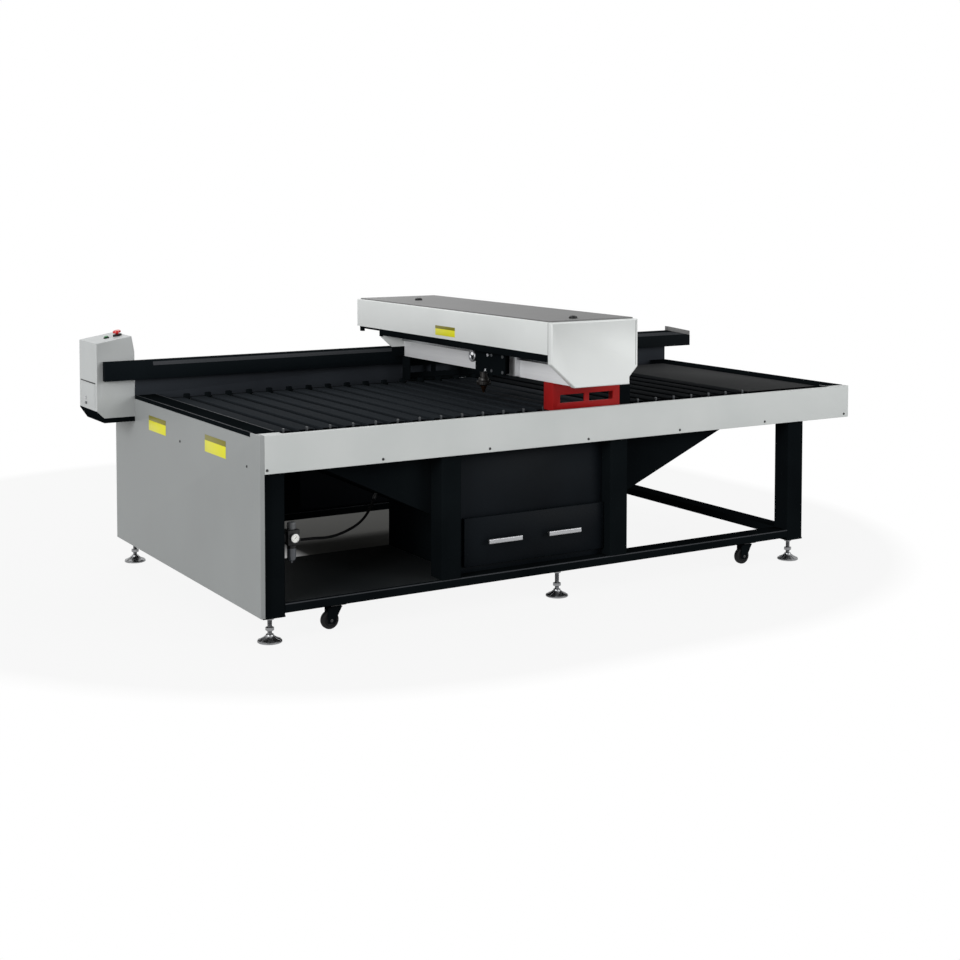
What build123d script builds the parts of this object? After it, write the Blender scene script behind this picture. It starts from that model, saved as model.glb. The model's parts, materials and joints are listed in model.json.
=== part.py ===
import os
from math import atan2, cos, degrees, pi, radians, sin, tan

from build123d import *

os.makedirs("parts", exist_ok=True)

# Flatbed laser cutter. Lengths in millimetres. While it is drawn, X runs along the bed from
# the left end panel, Y from the front fascia to the back, Z up from the floor; the finished
# pieces are then moved so that the origin lies under the middle of the whole machine.

# Bed
bed_length = 3300.0
bed_depth = 1815.0
top_height = 880.0
sheet = 2.0
panel_fold = 20.0
fold_radius = 3.0
running_gap = 0.3
cut_over = 10.0

# Steel frame
post_size = 100.0
rail_size = 100.0
rail_height = 40.0
tube_wall = 4.0
tube_corner = 6.0
rail_bottom = 125.0
upper_size = 100.0
slat_room = 40.0
right_overhang = 294.0
cabinet_left = 874.0
cabinet_right = 1892.0
foot_plate = 8.0
plate_drop = 15.0

# Panels
fascia_height = 162.0
panel_bottom = 120.0
strip_height = 17.0
strip_width = 110.0
strip_start = 99.0
tab_start = 10.0
strip_wall = 3.0
screw_radius = 6.0
screw_head = 2.5
screw_rise = 17.0
screw_inset = 32.0
fascia_screws = 7
panel_screws = 3
panel_screw_front = 135.0

# Back wall and cable duct
deck_depth = 296.0
duct_depth = 32.0
duct_height = 95.0
duct_rise = 174.0
duct_overhang = 166.0
duct_left_overhang = 161.0
duct_lip_height = 28.0
duct_lip_depth = 12.0
duct_end_drop = 34.0
end_lid_height = 26.0

# Slat table
slat_pitch = 110.0
slat_width = 74.0
slat_height = 22.0
slat_wall = 2.5
slat_front = 130.0
slat_top_drop = 8.0
slat_back_gap = 5.0
end_channel_width = 440.0
end_channel_gap = 2.5
support_height = 70.0
support_wall = 8.0
support_count = 4
support_inset = 60.0

# Guide rails and belts of the long travel
guide_width = 20.0
guide_height = 18.0
front_guide = 82.0
back_guide_gap = 79.0
block_length = 70.0
block_width = 44.0
block_height = 26.0
block_lift = 6.0
belt_width = 10.0
belt_wall = 2.0
belt_rise = 20.0
belt_side = 31.0
anchor_length = 30.0

# Scrap hopper
hopper_wall = 2.0
hopper_drop = 102.0
hopper_gap = 25.0
hopper_left = 174.0
hopper_right_inset = 567.0
hopper_base_left = 880.0
hopper_base_right = 1950.0
hopper_base_depth = 330.0

# Left bay floor and cabinet
bay_floor_depth = 740.0
cabinet_depth = 670.0
cabinet_side_gap = 34.0
cabinet_recess = 68.0

# Scrap drawer
drawer_left = 1018.0
drawer_width = 771.0
drawer_height = 220.0
drawer_rise = 30.0
drawer_front_wall = 20.0
tray_inset = 28.0
tray_lift = 6.0
tray_depth = 330.0
opening_margin = 10.0
opening_lip = 3.0
runner_wall = 3.0
runner_height = 50.0
runner_ledge = 22.0
handle_length = 178.0
handle_height = 22.0
handle_wall = 10.0
handle_round = 4.0
handle_post_radius = 5.0
handle_reach = 28.0
handle_spacing = 327.0
handle_shift = 20.0
handle_post_inset = 15.0

# Levelling feet
pad_radius = 52.5
pad_rim = 10.0
pad_height = 34.0
pad_neck = 17.0
stem_radius = 10.0
nut_flats = 32.0
nut_height = 16.0
middle_foot = 1523.0

# Castors
wheel_radius = 40.0
wheel_width = 26.0
wheel_round = 5.0
wheel_lift = 15.0
castor_trail = 28.0
castor_plate = 70.0
castor_plate_wall = 5.0
swivel_radius = 24.0
swivel_height = 8.0
fork_wall = 4.0
fork_gap = 2.0
fork_lip = 14.0
axle_radius = 5.0
axle_head = 3.0
axle_clearance = 0.05
left_castor = 375.0
right_castor_inset = 232.0

# Control box
box_reach = 192.0
box_front_gap = 2.0
box_depth = 269.0
box_high_rise = 296.0
box_slope_drop = 33.0
box_base_drop = 104.0
box_chamfer_width = 37.0
box_chamfer_height = 36.0
box_corner_width = 14.0
box_corner_height = 80.0
base_height = 24.0
base_lip = 6.0
stop_across = 48.0
stop_along = 110.0
start_across = 104.0
collar_radius = 22.0
collar_height = 9.0
stop_radius = 20.0
stop_head = 14.0
stop_round = 7.0
stop_stem = 8.0
press_travel = 6.0
start_radius = 9.0
start_collar_radius = 14.0
start_collar_height = 6.0
start_head = 5.0
start_round = 0.6

# Air regulator and its hose
regulator_width = 55.0
regulator_depth = 50.0
regulator_height = 65.0
regulator_base = 400.0
regulator_arm = 24.0
arm_share = 0.25
knob_radius = 19.0
knob_height = 30.0
knob_round = 3.0
bowl_radius = 20.0
bowl_height = 78.0
bowl_round = 10.0
gauge_radius = 20.0
gauge_depth = 16.0
spout_radius = 8.0
spout_length = 16.0
spout_back = 10.0
spout_rise = 12.0
hose_radius = 6.0
socket_length = 26.0
socket_across = 715.0
socket_back = 335.0
hose_first_run = 60.0
hose_last_run = 55.0
hose_points = [
    (360.0, 128.0, 395.0),
    (440.0, 185.0, 386.0),
    (515.0, 230.0, 390.0),
    (578.0, 268.0, 399.0),
    (632.0, 306.0, 413.0),
]
turn_share = 0.45

# Gantry
gantry_left = 1346.0
cover_width = 480.0
cover_rise = 417.0
cover_height = 147.0
cover_front = 140.0
cover_back_inset = 65.0
lower_back_gap = 41.0
cap_depth = 30.0
cap_round = 6.0
cap_bottom_rise = 117.0
toe_height = 113.0
cap_toe = 129.0
cap_heel = 45.0
heel_step = 35.0
heel_slope = 46.0
back_plate_depth = 12.0
beam_lift = 3.0
beam_height = 118.0
beam_inset = 139.0
beam_wall = 5.0
lid_wall = 6.0
lid_margin = 8.0
lid_round = 2.0
hatch_margin = 40.0
lid_knob_radius = 20.0
lid_knob_height = 12.0
lid_knob_round = 3.0
lid_knob_shift = 51.0
front_knob = -35.0
back_knob_inset = 352.0
skirt_wall = 2.5
skirt_height = 42.0
skirt_lap = 10.0

# Gantry brackets and drives
bracket_inset = 134.0
bracket_length = 380.0
bracket_depth = 77.0
bracket_wall = 8.0
window_length = 136.0
window_rise = 34.0
window_height = 38.0
window_inset = 40.0
block_inset = 55.0
drive_length = 65.0
drive_gap = 2.0
drive_height = 121.0

# Laser tube and its clamps
tube_radius = 40.0
tube_inset = 354.0
tube_lift = 97.0
tube_front = 60.0
tube_back_inset = 110.0
clamp_width = 110.0
clamp_wall = 30.0
clamp_head = 14.0
clamp_inset = 290.0
cap_radius = 26.0
cap_length = 30.0

# Cutting head
head_guide_width = 15.0
head_guide_drop = 26.0
head_middle = 480.0
slide_plate = 11.0
slide_length = 300.0
slide_lift = 6.0
head_width = 70.0
head_length = 200.0
head_lift = 12.0
head_height = 110.0
head_round = 4.0
mirror_radius = 30.0
mirror_length = 62.0
mirror_seat = 26.0
mirror_drop = 40.0
mirror_inset = 38.0
lens_inset = 76.0
lens_back = 75.0
lens_radius = 19.0
lens_drop = 52.0
lens_collar_radius = 26.0
lens_collar = 18.0
nozzle_radius = 5.0
nozzle_length = 40.0
nozzle_gap = 34.0

# Places worked out from the sizes above
frame_left = panel_fold
frame_right = bed_length - panel_fold
frame_front = panel_fold
frame_back = bed_depth - panel_fold
upper_top = top_height - slat_room
upper_bottom = upper_top - upper_size
rail_top = rail_bottom + rail_height
plate_bottom = rail_bottom - plate_drop
post_bottom = plate_bottom + foot_plate
right_post = bed_length - right_overhang - post_size
fascia_bottom = top_height - fascia_height
panel_top = top_height - strip_height
post_rows = [(frame_front, frame_front + post_size), (frame_back - post_size, frame_back)]
end_posts = [(frame_left, frame_left + post_size), (right_post, right_post + post_size)]
inner_posts = [(cabinet_left, cabinet_left + post_size), (cabinet_right - post_size, cabinet_right)]
cabinet_side = inner_posts[0][1] + cabinet_side_gap
inner_left = frame_left + post_size
inner_right = frame_right - post_size
front_edge = frame_front + upper_size
wall_line = bed_depth - deck_depth
back_guide = wall_line - back_guide_gap
rear_beam = (back_guide - upper_size / 2, back_guide + upper_size / 2)
end_channel = (inner_right - end_channel_gap - end_channel_width, inner_right - end_channel_gap)
slat_top = top_height - slat_top_drop
slat_bottom = slat_top - slat_height
slat_back = rear_beam[0] - slat_back_gap
duct_top = top_height + duct_rise
duct_front = wall_line - duct_depth
duct_bottom = duct_top - duct_height
foot_columns = [sum(end_posts[0]) / 2, middle_foot, sum(end_posts[1]) / 2]
foot_rows = [sum(row) / 2 for row in post_rows]
rail_rows = [(frame_front, frame_front + rail_size), (frame_back - rail_size, frame_back)]
right_castor = right_post - right_castor_inset
gantry_right = gantry_left + cover_width
cover_top = top_height + cover_rise
cover_lower = cover_top - cover_height
cover_back = bed_depth - cover_back_inset
lower_back = wall_line - lower_back_gap
cap_bottom = top_height + cap_bottom_rise
cap_left_lower = cap_bottom + toe_height
heel_low = cap_bottom + heel_step
heel_high = heel_low + heel_slope
beam_bottom = cap_bottom + beam_lift
beam_top = beam_bottom + beam_height
back_knob = cover_back - back_knob_inset
beam_left = gantry_left + beam_inset
beam_right = gantry_right - cap_heel - sheet - running_gap
bracket_left = gantry_left + bracket_inset
bracket_right = bracket_left + bracket_length
block_bottom = upper_top + block_lift
block_top = block_bottom + block_height
window_low = block_top + window_rise
window_high = window_low + window_height
drive_bottom = upper_top + belt_rise + belt_wall + drive_gap
drive_top = drive_bottom + drive_height
tube_across = gantry_left + tube_inset
tube_rise = beam_top + tube_lift
tube_length = cover_back - tube_back_inset - tube_front
head_guide_rise = beam_top - head_guide_drop
slide_bottom = beam_bottom + slide_lift
head_bottom = beam_bottom + head_lift
head_top = head_bottom + head_height
mirror_across = gantry_left + mirror_inset
mirror_rise = head_top - mirror_drop
lens_across = gantry_left + lens_inset
lens_top = head_top - lens_drop
nozzle_tip = slat_top + nozzle_gap
guides = [front_guide, back_guide]
lid_top = cover_top + lid_wall
box_high_top = top_height + box_high_rise
box_low_top = box_high_top - box_slope_drop
box_base = top_height - box_base_drop
box_tilt = degrees(atan2(box_slope_drop, box_reach))
box_front = wall_line + box_front_gap
hopper_top = top_height - hopper_drop
hopper_base = rail_top + drawer_rise + drawer_height + hopper_gap
hopper_right = bed_length - hopper_right_inset
hopper_front = front_edge
hopper_back = slat_back


def block(x, y, z):
    # a box between two planes on each axis, each pair low then high
    middle = [(pair[0] + pair[1]) / 2 for pair in (x, y, z)]
    size = [pair[1] - pair[0] for pair in (x, y, z)]
    return Pos(*middle) * Box(*size)


def inside(pair, wall):
    return (pair[0] + wall, pair[1] - wall)


def past(pair, extra):
    return (pair[0] - extra, pair[1] + extra)


def square_tube(x, y, z, axis):
    # a welded steel tube, rounded along its length and open at its ends
    outer = fillet(block(x, y, z).edges().filter_by(axis), tube_corner)
    bore = [inside(pair, tube_wall) for pair in (x, y, z)]
    along = [Axis.X, Axis.Y, Axis.Z].index(axis)
    bore[along] = past((x, y, z)[along], cut_over)
    return outer - block(*bore)


def pan(x, y, z, side, wall=sheet):
    # a folded sheet panel: flat face with rounded folds, returns all round, open on the side named
    flat = -1 if side[0] == "-" else 0
    body = block(x, y, z)
    axis = {"x": Axis.X, "y": Axis.Y, "z": Axis.Z}[side[1]]
    body = fillet(body.faces().sort_by(axis)[flat].edges(), fold_radius)
    pocket = [inside(pair, wall) for pair in (x, y, z)]
    along = "xyz".index(side[1])
    low, high = pocket[along]
    pocket[along] = (low, high + wall + cut_over) if side[0] == "+" else (low - wall - cut_over, high)
    return body - block(*pocket)


def rod(start, end, radius):
    # a round bar from one point to another
    run = Vector(*end) - Vector(*start)
    plane = Plane(origin=start, z_dir=run)
    return plane * Cylinder(radius, run.length, align=(Align.CENTER, Align.CENTER, Align.MIN))


def prism(points, y):
    # an outline of (x, z) points carried along Y between two planes
    line = Polyline(*[Vector(px, y[0], pz) for px, pz in points], close=True)
    return extrude(make_face(line), amount=y[1] - y[0], dir=(0, 1, 0))


def bar(points, x):
    # an outline of (y, z) points carried along X between two planes
    line = Polyline(*[Vector(x[0], py, pz) for py, pz in points], close=True)
    return extrude(make_face(line), amount=x[1] - x[0], dir=(1, 0, 0))


def posts():
    pieces = []
    for row in post_rows:
        for column in end_posts:
            pieces.append(square_tube(column, row, (post_bottom, upper_bottom), Axis.Z))
            pieces.append(block(column, row, (plate_bottom, post_bottom)))
        for column in inner_posts:
            pieces.append(square_tube(column, row, (rail_top, upper_bottom), Axis.Z))
    return pieces


def upper_frame():
    height = (upper_bottom, upper_top)
    span = (frame_left, frame_right)
    pieces = [square_tube(span, row, height, Axis.X) for row in post_rows]
    between = (front_edge, frame_back - upper_size)
    for column in ((frame_left, inner_left), (inner_right, frame_right)):
        pieces.append(square_tube(column, between, height, Axis.Y))
    pieces.append(square_tube((inner_left, inner_right), rear_beam, height, Axis.X))
    return pieces


def lower_frame():
    height = (rail_bottom, rail_top)
    ends = (end_posts[0][1], end_posts[1][0])
    pieces = [square_tube(ends, row, height, Axis.X) for row in rail_rows]
    between = (frame_front + post_size, frame_back - post_size)
    for column in end_posts:
        narrow = inside(column, (post_size - rail_size) / 2)
        pieces.append(square_tube(narrow, between, height, Axis.Y))
    return pieces


def left_end_panel():
    # the panel wraps the front corner, where it stands up to the fascia's top
    panel = pan((0, panel_fold), (0, bed_depth), (panel_bottom, panel_top), "+x")
    ear = (panel_top - panel_fold, top_height)
    panel += block((0, sheet), (fold_radius, strip_start), ear)
    panel += block((0, panel_fold), (fold_radius, strip_start), (top_height - sheet, top_height))
    return panel + block((fold_radius, panel_fold), (0, sheet), ear) + corner_fold(ear)


def corner_fold(height):
    # the rounded upright corner between the panel's side and its front return
    middle = sum(height) / 2
    outer = Pos(fold_radius, fold_radius, middle) * Cylinder(fold_radius, height[1] - height[0])
    inner = Pos(fold_radius, fold_radius, middle) * Cylinder(fold_radius - sheet, height[1] - height[0])
    return (outer - inner) & block((0, fold_radius), (0, fold_radius), height)


def front_fascia():
    # it starts beside the left panel's corner and wraps the right one
    start = panel_fold + running_gap
    fascia = pan((start, bed_length), (0, panel_fold), (fascia_bottom, top_height), "+y")
    behind = (tab_start, strip_start)
    fascia += block((bed_length - sheet, bed_length), behind, (panel_top, top_height))
    for across in ((start, strip_width), (bed_length - strip_width, bed_length)):
        fascia += block(across, behind, (top_height - sheet, top_height))
    return fascia


def side_fascias():
    right = pan((frame_right, bed_length), (panel_fold, frame_back), (fascia_bottom, panel_top), "-x")
    rear = pan((panel_fold, bed_length), (frame_back, bed_depth),
               (fascia_bottom, top_height - sheet), "-y")
    return [right, rear]


def edge_strips():
    # a channel over each end of the bed, its inner leg standing on the end tube
    along = (strip_start, wall_line)
    strips = []
    for outer, inner in ((0, strip_width), (bed_length, bed_length - strip_width)):
        turn = 1 if inner > outer else -1
        across = tuple(sorted((outer, inner)))
        outer_leg = tuple(sorted((outer, outer + turn * strip_wall)))
        inner_leg = tuple(sorted((inner, inner - turn * strip_wall)))
        strips.append(
            block(across, along, (top_height - strip_wall, top_height))
            + block(outer_leg, along, (panel_top, top_height))
            + block(inner_leg, along, (upper_top, top_height))
        )
    return strips


def back_wall():
    # one folded sheet: the wall behind the table and the deck that runs back from it
    wall_sheet = (wall_line, wall_line + sheet)
    deck = (wall_line, bed_depth)
    wall = block((frame_left, frame_right), wall_sheet, (upper_top, top_height))
    wall += block((0, bed_length), wall_sheet, (top_height - sheet, duct_top))
    wall += block((0, bed_length), deck, (top_height - sheet, top_height))
    wall += block((frame_left, frame_right), (frame_back - sheet, frame_back), (upper_top, top_height))
    wall += block((0, sheet), deck, (panel_top, top_height))
    wall += block((bed_length - sheet, bed_length), (wall_line, frame_back), (panel_top, top_height))
    return wall


def cable_duct():
    # a channel closed at both ends, open to the wall, with a sloped lip along its top
    across = (-duct_left_overhang, bed_length + duct_overhang)
    lip = sheet * duct_lip_height / duct_lip_depth
    outer = [
        (duct_front, duct_bottom),
        (duct_front, duct_top - duct_lip_height),
        (duct_front + duct_lip_depth, duct_top),
        (wall_line, duct_top),
        (wall_line, duct_bottom),
    ]
    hollow = [
        (duct_front + sheet, duct_bottom + sheet),
        (duct_front + sheet, duct_top - duct_lip_height - sheet / 2),
        (duct_front + duct_lip_depth + sheet, duct_top - sheet - lip / 2),
        (wall_line + cut_over, duct_top - sheet - lip / 2),
        (wall_line + cut_over, duct_bottom + sheet),
    ]
    duct = bar(outer, across) - bar(hollow, inside(across, sheet))
    slope = [
        (bed_length, duct_top),
        (bed_length, duct_top + cut_over),
        (across[1] + cut_over, duct_top + cut_over),
        (across[1] + cut_over, duct_top - duct_end_drop * (1 + cut_over / duct_overhang)),
    ]
    return duct - prism(slope, past((duct_front, wall_line), cut_over))


def duct_end_lid():
    end = bed_length + duct_overhang
    outline = [
        (bed_length, duct_top),
        (end, duct_top - duct_end_drop),
        (end, duct_top - duct_end_drop + end_lid_height),
        (bed_length, duct_top + end_lid_height),
    ]
    return prism(outline, (duct_front, wall_line))


def slats():
    # evenly spaced strips, then one broad channel at the right end
    room = (inner_left + end_channel_gap, end_channel[0] - end_channel_gap)
    count = int((room[1] - room[0] - slat_width) // slat_pitch) + 1
    first = (room[0] + room[1] - (count - 1) * slat_pitch) / 2
    middles = [first + index * slat_pitch for index in range(count)]
    spans = [(middle - slat_width / 2, middle + slat_width / 2) for middle in middles]
    pieces = []
    for across in spans + [end_channel]:
        outer = block(across, (slat_front, slat_back), (slat_bottom, slat_top))
        hollow = block(inside(across, slat_wall), past((slat_front, slat_back), cut_over),
                       (slat_bottom - cut_over, slat_top - slat_wall))
        pieces.append(outer - hollow)
    return pieces


def slat_supports():
    first = slat_front + support_inset
    last = slat_back - support_wall - running_gap
    pieces = []
    for index in range(support_count):
        line = first + (last - first) * index / (support_count - 1)
        pieces.append(block((inner_left, inner_right), (line - support_wall / 2, line + support_wall / 2),
                            (slat_bottom - support_height, slat_bottom)))
    return pieces


def x_rails():
    along = (inner_left + running_gap, inner_right - running_gap)
    height = (upper_top, upper_top + guide_height)
    return [block(along, (line - guide_width / 2, line + guide_width / 2), height) for line in guides]


def x_belts():
    # each belt lies stretched beside its rail, held by a clamp at both ends
    pieces = []
    along = (strip_width + running_gap, bed_length - strip_width - running_gap)
    level = upper_top + belt_rise
    for line in guides:
        across = (line + belt_side - belt_width / 2, line + belt_side + belt_width / 2)
        pieces.append(block((along[0] + anchor_length, along[1] - anchor_length), across,
                            (level, level + belt_wall)))
        for start in (along[0], along[1] - anchor_length):
            pieces.append(block((start, start + anchor_length), across, (upper_top, level + belt_wall)))
    return pieces


def hopper():
    # a folded funnel: front upright, other sides sloping down to a floor with one outlet
    def funnel(inset, drop):
        top_x = inside((hopper_left, hopper_right), inset)
        top_y = inside((hopper_front, hopper_back), inset)
        base_x = inside((hopper_base_left, hopper_base_right), inset)
        base_y = inside((hopper_front, hopper_front + hopper_base_depth), inset)
        rims = []
        for pair_x, pair_y, level in ((top_x, top_y, hopper_top + drop), (base_x, base_y, hopper_base + inset)):
            corners = [(pair_x[i], pair_y[j], level) for i, j in ((0, 0), (1, 0), (1, 1), (0, 1))]
            rims.append(make_face(Polyline(*corners, close=True)))
        return loft(rims)

    shell = funnel(0, 0) - funnel(hopper_wall, hopper_wall)
    tray = tray_span()
    outlet = block(inside(tray[0], opening_margin),
                   (hopper_front + opening_margin, hopper_front + hopper_base_depth - opening_margin),
                   past((hopper_base, hopper_base), cut_over))
    return shell - outlet


def bay_floor():
    level = (rail_top, rail_top + sheet)
    behind = frame_front + post_size
    back = frame_front + bay_floor_depth
    floor = block((frame_left + rail_size / 2, cabinet_side), (behind, back), level)
    floor += block((inner_left, cabinet_left), (frame_front + panel_fold, behind), level)
    return floor


def cabinet_box():
    # sides, floor and back of the drawer cabinet, open to the front and under the hopper
    behind = frame_front + cabinet_recess + sheet
    across = (cabinet_side, inner_posts[1][0])
    depth = (behind, behind + cabinet_depth)
    box = pan(across, depth, (rail_top, hopper_base), "+z")
    front = block(inside(across, sheet), past((behind, behind), cut_over),
                  (rail_top + sheet, hopper_base + cut_over))
    return box - front


def tray_span():
    across = (drawer_left + tray_inset, drawer_left + drawer_width - tray_inset)
    face = frame_front + cabinet_recess - running_gap
    base = rail_top + drawer_rise + tray_lift
    return across, (face, face + tray_depth), (base, rail_top + drawer_rise + drawer_height - tray_lift)


def cabinet_panels():
    # a sheet between the middle posts at the front, with the drawer's opening, and one at the back
    line = frame_front + cabinet_recess
    span = (inner_posts[0][1], inner_posts[1][0])
    face = block(span, (line, line + sheet), (rail_top, upper_bottom))
    across, depth, height = tray_span()
    hole = block(past(across, opening_margin), past((line, line), cut_over),
                 (rail_top + drawer_rise + running_gap, height[1] + opening_lip))
    rear = frame_back - cabinet_recess
    return [face - hole, block(span, (rear - sheet, rear), (rail_top, upper_bottom))]


def drawer_tray():
    across, depth, height = tray_span()
    return pan(across, depth, height, "+z")


def drawer_front():
    line = frame_front + cabinet_recess - running_gap
    face = block((drawer_left, drawer_left + drawer_width), (line - drawer_front_wall, line),
                 (rail_top + drawer_rise, rail_top + drawer_rise + drawer_height))
    return fillet(face.edges().filter_by(Axis.Y), sheet)


def drawer_runners():
    # an angle each side: the leg guides the tray, the ledge carries it
    across, depth, height = tray_span()
    behind = frame_front + post_size
    along = (behind + running_gap, depth[1])
    pieces = []
    for edge, turn in ((across[0], 1), (across[1], -1)):
        near = edge - turn * running_gap
        leg = tuple(sorted((near, near - turn * runner_wall)))
        ledge = tuple(sorted((near - turn * runner_wall, near + turn * runner_ledge)))
        top = height[0] - running_gap
        floor = rail_top + sheet
        pieces.append(block(leg, along, (floor, floor + runner_height))
                      + block(ledge, along, (top - runner_wall, top)))
    return pieces


def handle_places():
    middle = drawer_left + drawer_width / 2 - handle_shift
    return [middle - handle_spacing / 2, middle + handle_spacing / 2]


def drawer_handles():
    face = frame_front + cabinet_recess - running_gap - drawer_front_wall
    level = rail_top + drawer_rise + drawer_height / 2
    pieces = []
    for middle in handle_places():
        half = handle_length / 2
        grip = block((middle - half, middle + half), past((face - handle_reach, face - handle_reach), handle_wall / 2),
                     past((level, level), handle_height / 2))
        grip = fillet(grip.edges().filter_by(Axis.X), handle_round)
        for side in (-1, 1):
            post = middle + side * (half - handle_post_inset)
            grip += rod((post, face - handle_reach, level), (post, face, level), handle_post_radius)
        pieces.append(grip)
    return pieces


def foot_places():
    places = []
    for index, column in enumerate(foot_columns):
        for row, rail in zip(foot_rows, rail_rows):
            middle = index == 1
            if middle and row == foot_rows[-1]:
                continue
            under = rail_bottom if middle else plate_bottom
            places.append((column, sum(rail) / 2 if middle else row, under))
    return places


def foot_pads():
    pieces = []
    for column, row, under in foot_places():
        align = (Align.CENTER, Align.CENTER, Align.MIN)
        pad = Cylinder(pad_radius, pad_rim, align=align)
        pad += Pos(0, 0, pad_rim) * Cone(pad_radius, pad_neck, pad_height - pad_rim, align=align)
        pieces.append(Pos(column, row, 0) * pad)
    return pieces


def foot_stems():
    pieces = []
    for column, row, under in foot_places():
        pieces.append(rod((column, row, pad_height), (column, row, under), stem_radius))
        nut = extrude(RegularPolygon(nut_flats / 2, 6, major_radius=False), nut_height)
        nut -= Cylinder(stem_radius + running_gap, nut_height + cut_over, align=Align.CENTER)
        nut -= Pos(0, 0, nut_height) * Cylinder(stem_radius + running_gap, nut_height + cut_over)
        pieces.append(Pos(column, row, under - nut_height) * nut)
    return pieces


def castor_places():
    rows = [sum(row) / 2 for row in rail_rows]
    corners = (("front_left", left_castor, rows[0]), ("front_right", right_castor, rows[0]),
               ("back_left", left_castor, rows[1]), ("back_right", right_castor, rows[1]))
    return corners


def castor_plates():
    half = castor_plate / 2
    pieces = []
    for name, column, row in castor_places():
        plate = block((column - half, column + half), (row - half, row + half),
                      (rail_bottom - castor_plate_wall, rail_bottom))
        pieces.append(plate)
    return pieces


def castor_fork(column, row):
    top = rail_bottom - castor_plate_wall - running_gap
    yoke_top = top - swivel_height
    inner = wheel_width / 2 + fork_gap
    outer = inner + fork_wall
    axle = wheel_lift + wheel_radius
    ends = (-castor_trail - fork_lip, swivel_radius)
    fork = block(ends, (-outer, outer), (yoke_top - fork_wall, yoke_top))
    for low in (-outer, inner):
        leg = [
            (ends[0], yoke_top),
            (ends[1], yoke_top),
            (-castor_trail + fork_lip, axle - fork_lip),
            (-castor_trail - fork_lip, axle - fork_lip),
        ]
        fork += prism(leg, (low, low + fork_wall))
    fork += Pos(0, 0, yoke_top) * Cylinder(swivel_radius, swivel_height,
                                          align=(Align.CENTER, Align.CENTER, Align.MIN))
    half = outer + axle_head
    pin = rod((-castor_trail, -half, axle), (-castor_trail, half, axle), axle_radius)
    fork -= rod((-castor_trail, -half, axle), (-castor_trail, half, axle), axle_radius)
    return [Pos(column, row, 0) * fork, Pos(column, row, 0) * pin]


def castor_wheel(column, row):
    axle = wheel_lift + wheel_radius
    half = wheel_width / 2
    wheel = rod((0, -half, 0), (0, half, 0), wheel_radius)
    wheel = fillet(wheel.edges(), wheel_round)
    wheel -= rod((0, -wheel_width, 0), (0, wheel_width, 0), axle_radius + axle_clearance)
    return Pos(column - castor_trail, row, axle) * wheel


def box_outline():
    return [
        (-box_reach, box_base + box_chamfer_height),
        (-box_reach, box_low_top),
        (-box_corner_width, box_high_top - box_corner_width * tan(radians(box_tilt))),
        (0, box_high_top - box_corner_height),
        (0, box_base),
        (-box_reach + box_chamfer_width, box_base),
    ]


def control_box():
    # a sloped console, open underneath where its base closes it
    depth = (box_front, box_front + box_depth)
    room = inside(depth, sheet)
    face = make_face(Polyline(*[Vector(px, room[0], pz) for px, pz in box_outline()], close=True))
    hollow = extrude(offset(face, amount=-sheet, kind=Kind.INTERSECTION), amount=room[1] - room[0], dir=(0, 1, 0))
    mouth = block((-box_reach + box_chamfer_width + sheet, -sheet), room,
                  (box_base - cut_over, box_base + sheet + running_gap))
    shell = prism(box_outline(), depth)
    folds = [edge for edge in shell.edges()
             if edge.center().X < -cut_over and edge.center().Z > box_base + cut_over]
    return fillet(folds, fold_radius) - hollow - mouth


def control_box_base():
    depth = (box_front, box_front + box_depth)
    knee = box_base + box_chamfer_height
    outline = [
        (-box_reach, knee),
        (-box_reach + box_chamfer_width, box_base),
        (0, box_base),
        (0, box_base - base_height),
        (-box_reach + box_chamfer_width, box_base - base_height),
        (-box_reach, knee - base_lip),
    ]
    return prism(outline, depth)


def on_console(across, along, lift):
    # a place on the sloped top, its own Z standing square to the slope
    rise = box_low_top + (box_reach - across) * tan(radians(box_tilt))
    spot = Location((-across, box_front + along, rise), (0, -box_tilt, 0))
    return spot * Pos(0, 0, lift)


def switch_collars():
    base = (Align.CENTER, Align.CENTER, Align.MIN)
    pieces = []
    for across, radius, height, stem in (
        (stop_across, collar_radius, collar_height, stop_stem),
        (start_across, start_collar_radius, start_collar_height, start_radius),
    ):
        ring = Cylinder(radius, height, align=base)
        ring -= Pos(0, 0, -cut_over) * Cylinder(stem + running_gap, height + 2 * cut_over, align=base)
        pieces.append(on_console(across, stop_along, 0) * ring)
    return pieces


def estop_button():
    base = (Align.CENTER, Align.CENTER, Align.MIN)
    under = collar_height + press_travel + running_gap
    button = Pos(0, 0, running_gap + press_travel) * Cylinder(stop_stem, under - press_travel, align=base)
    head = Pos(0, 0, under) * Cylinder(stop_radius, stop_head, align=base)
    head = fillet(head.edges().group_by(Axis.Z)[-1], stop_round)
    return on_console(stop_across, stop_along, 0) * (button + head)


def start_button():
    base = (Align.CENTER, Align.CENTER, Align.MIN)
    lift = running_gap + press_travel / 2
    plunger = Pos(0, 0, lift) * Cylinder(start_radius, start_collar_height + start_head - lift, align=base)
    plunger = fillet(plunger.edges().group_by(Axis.Z)[-1], start_round)
    return on_console(start_across, stop_along, 0) * plunger


def regulator_box():
    across = (inner_left + regulator_arm, inner_left + regulator_arm + regulator_width)
    row = sum(post_rows[0]) / 2
    return across, (row - regulator_depth / 2, row + regulator_depth / 2), (regulator_base,
                                                                           regulator_base + regulator_height)


def regulator_middle():
    across, depth, height = regulator_box()
    return sum(across) / 2, sum(depth) / 2


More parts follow.
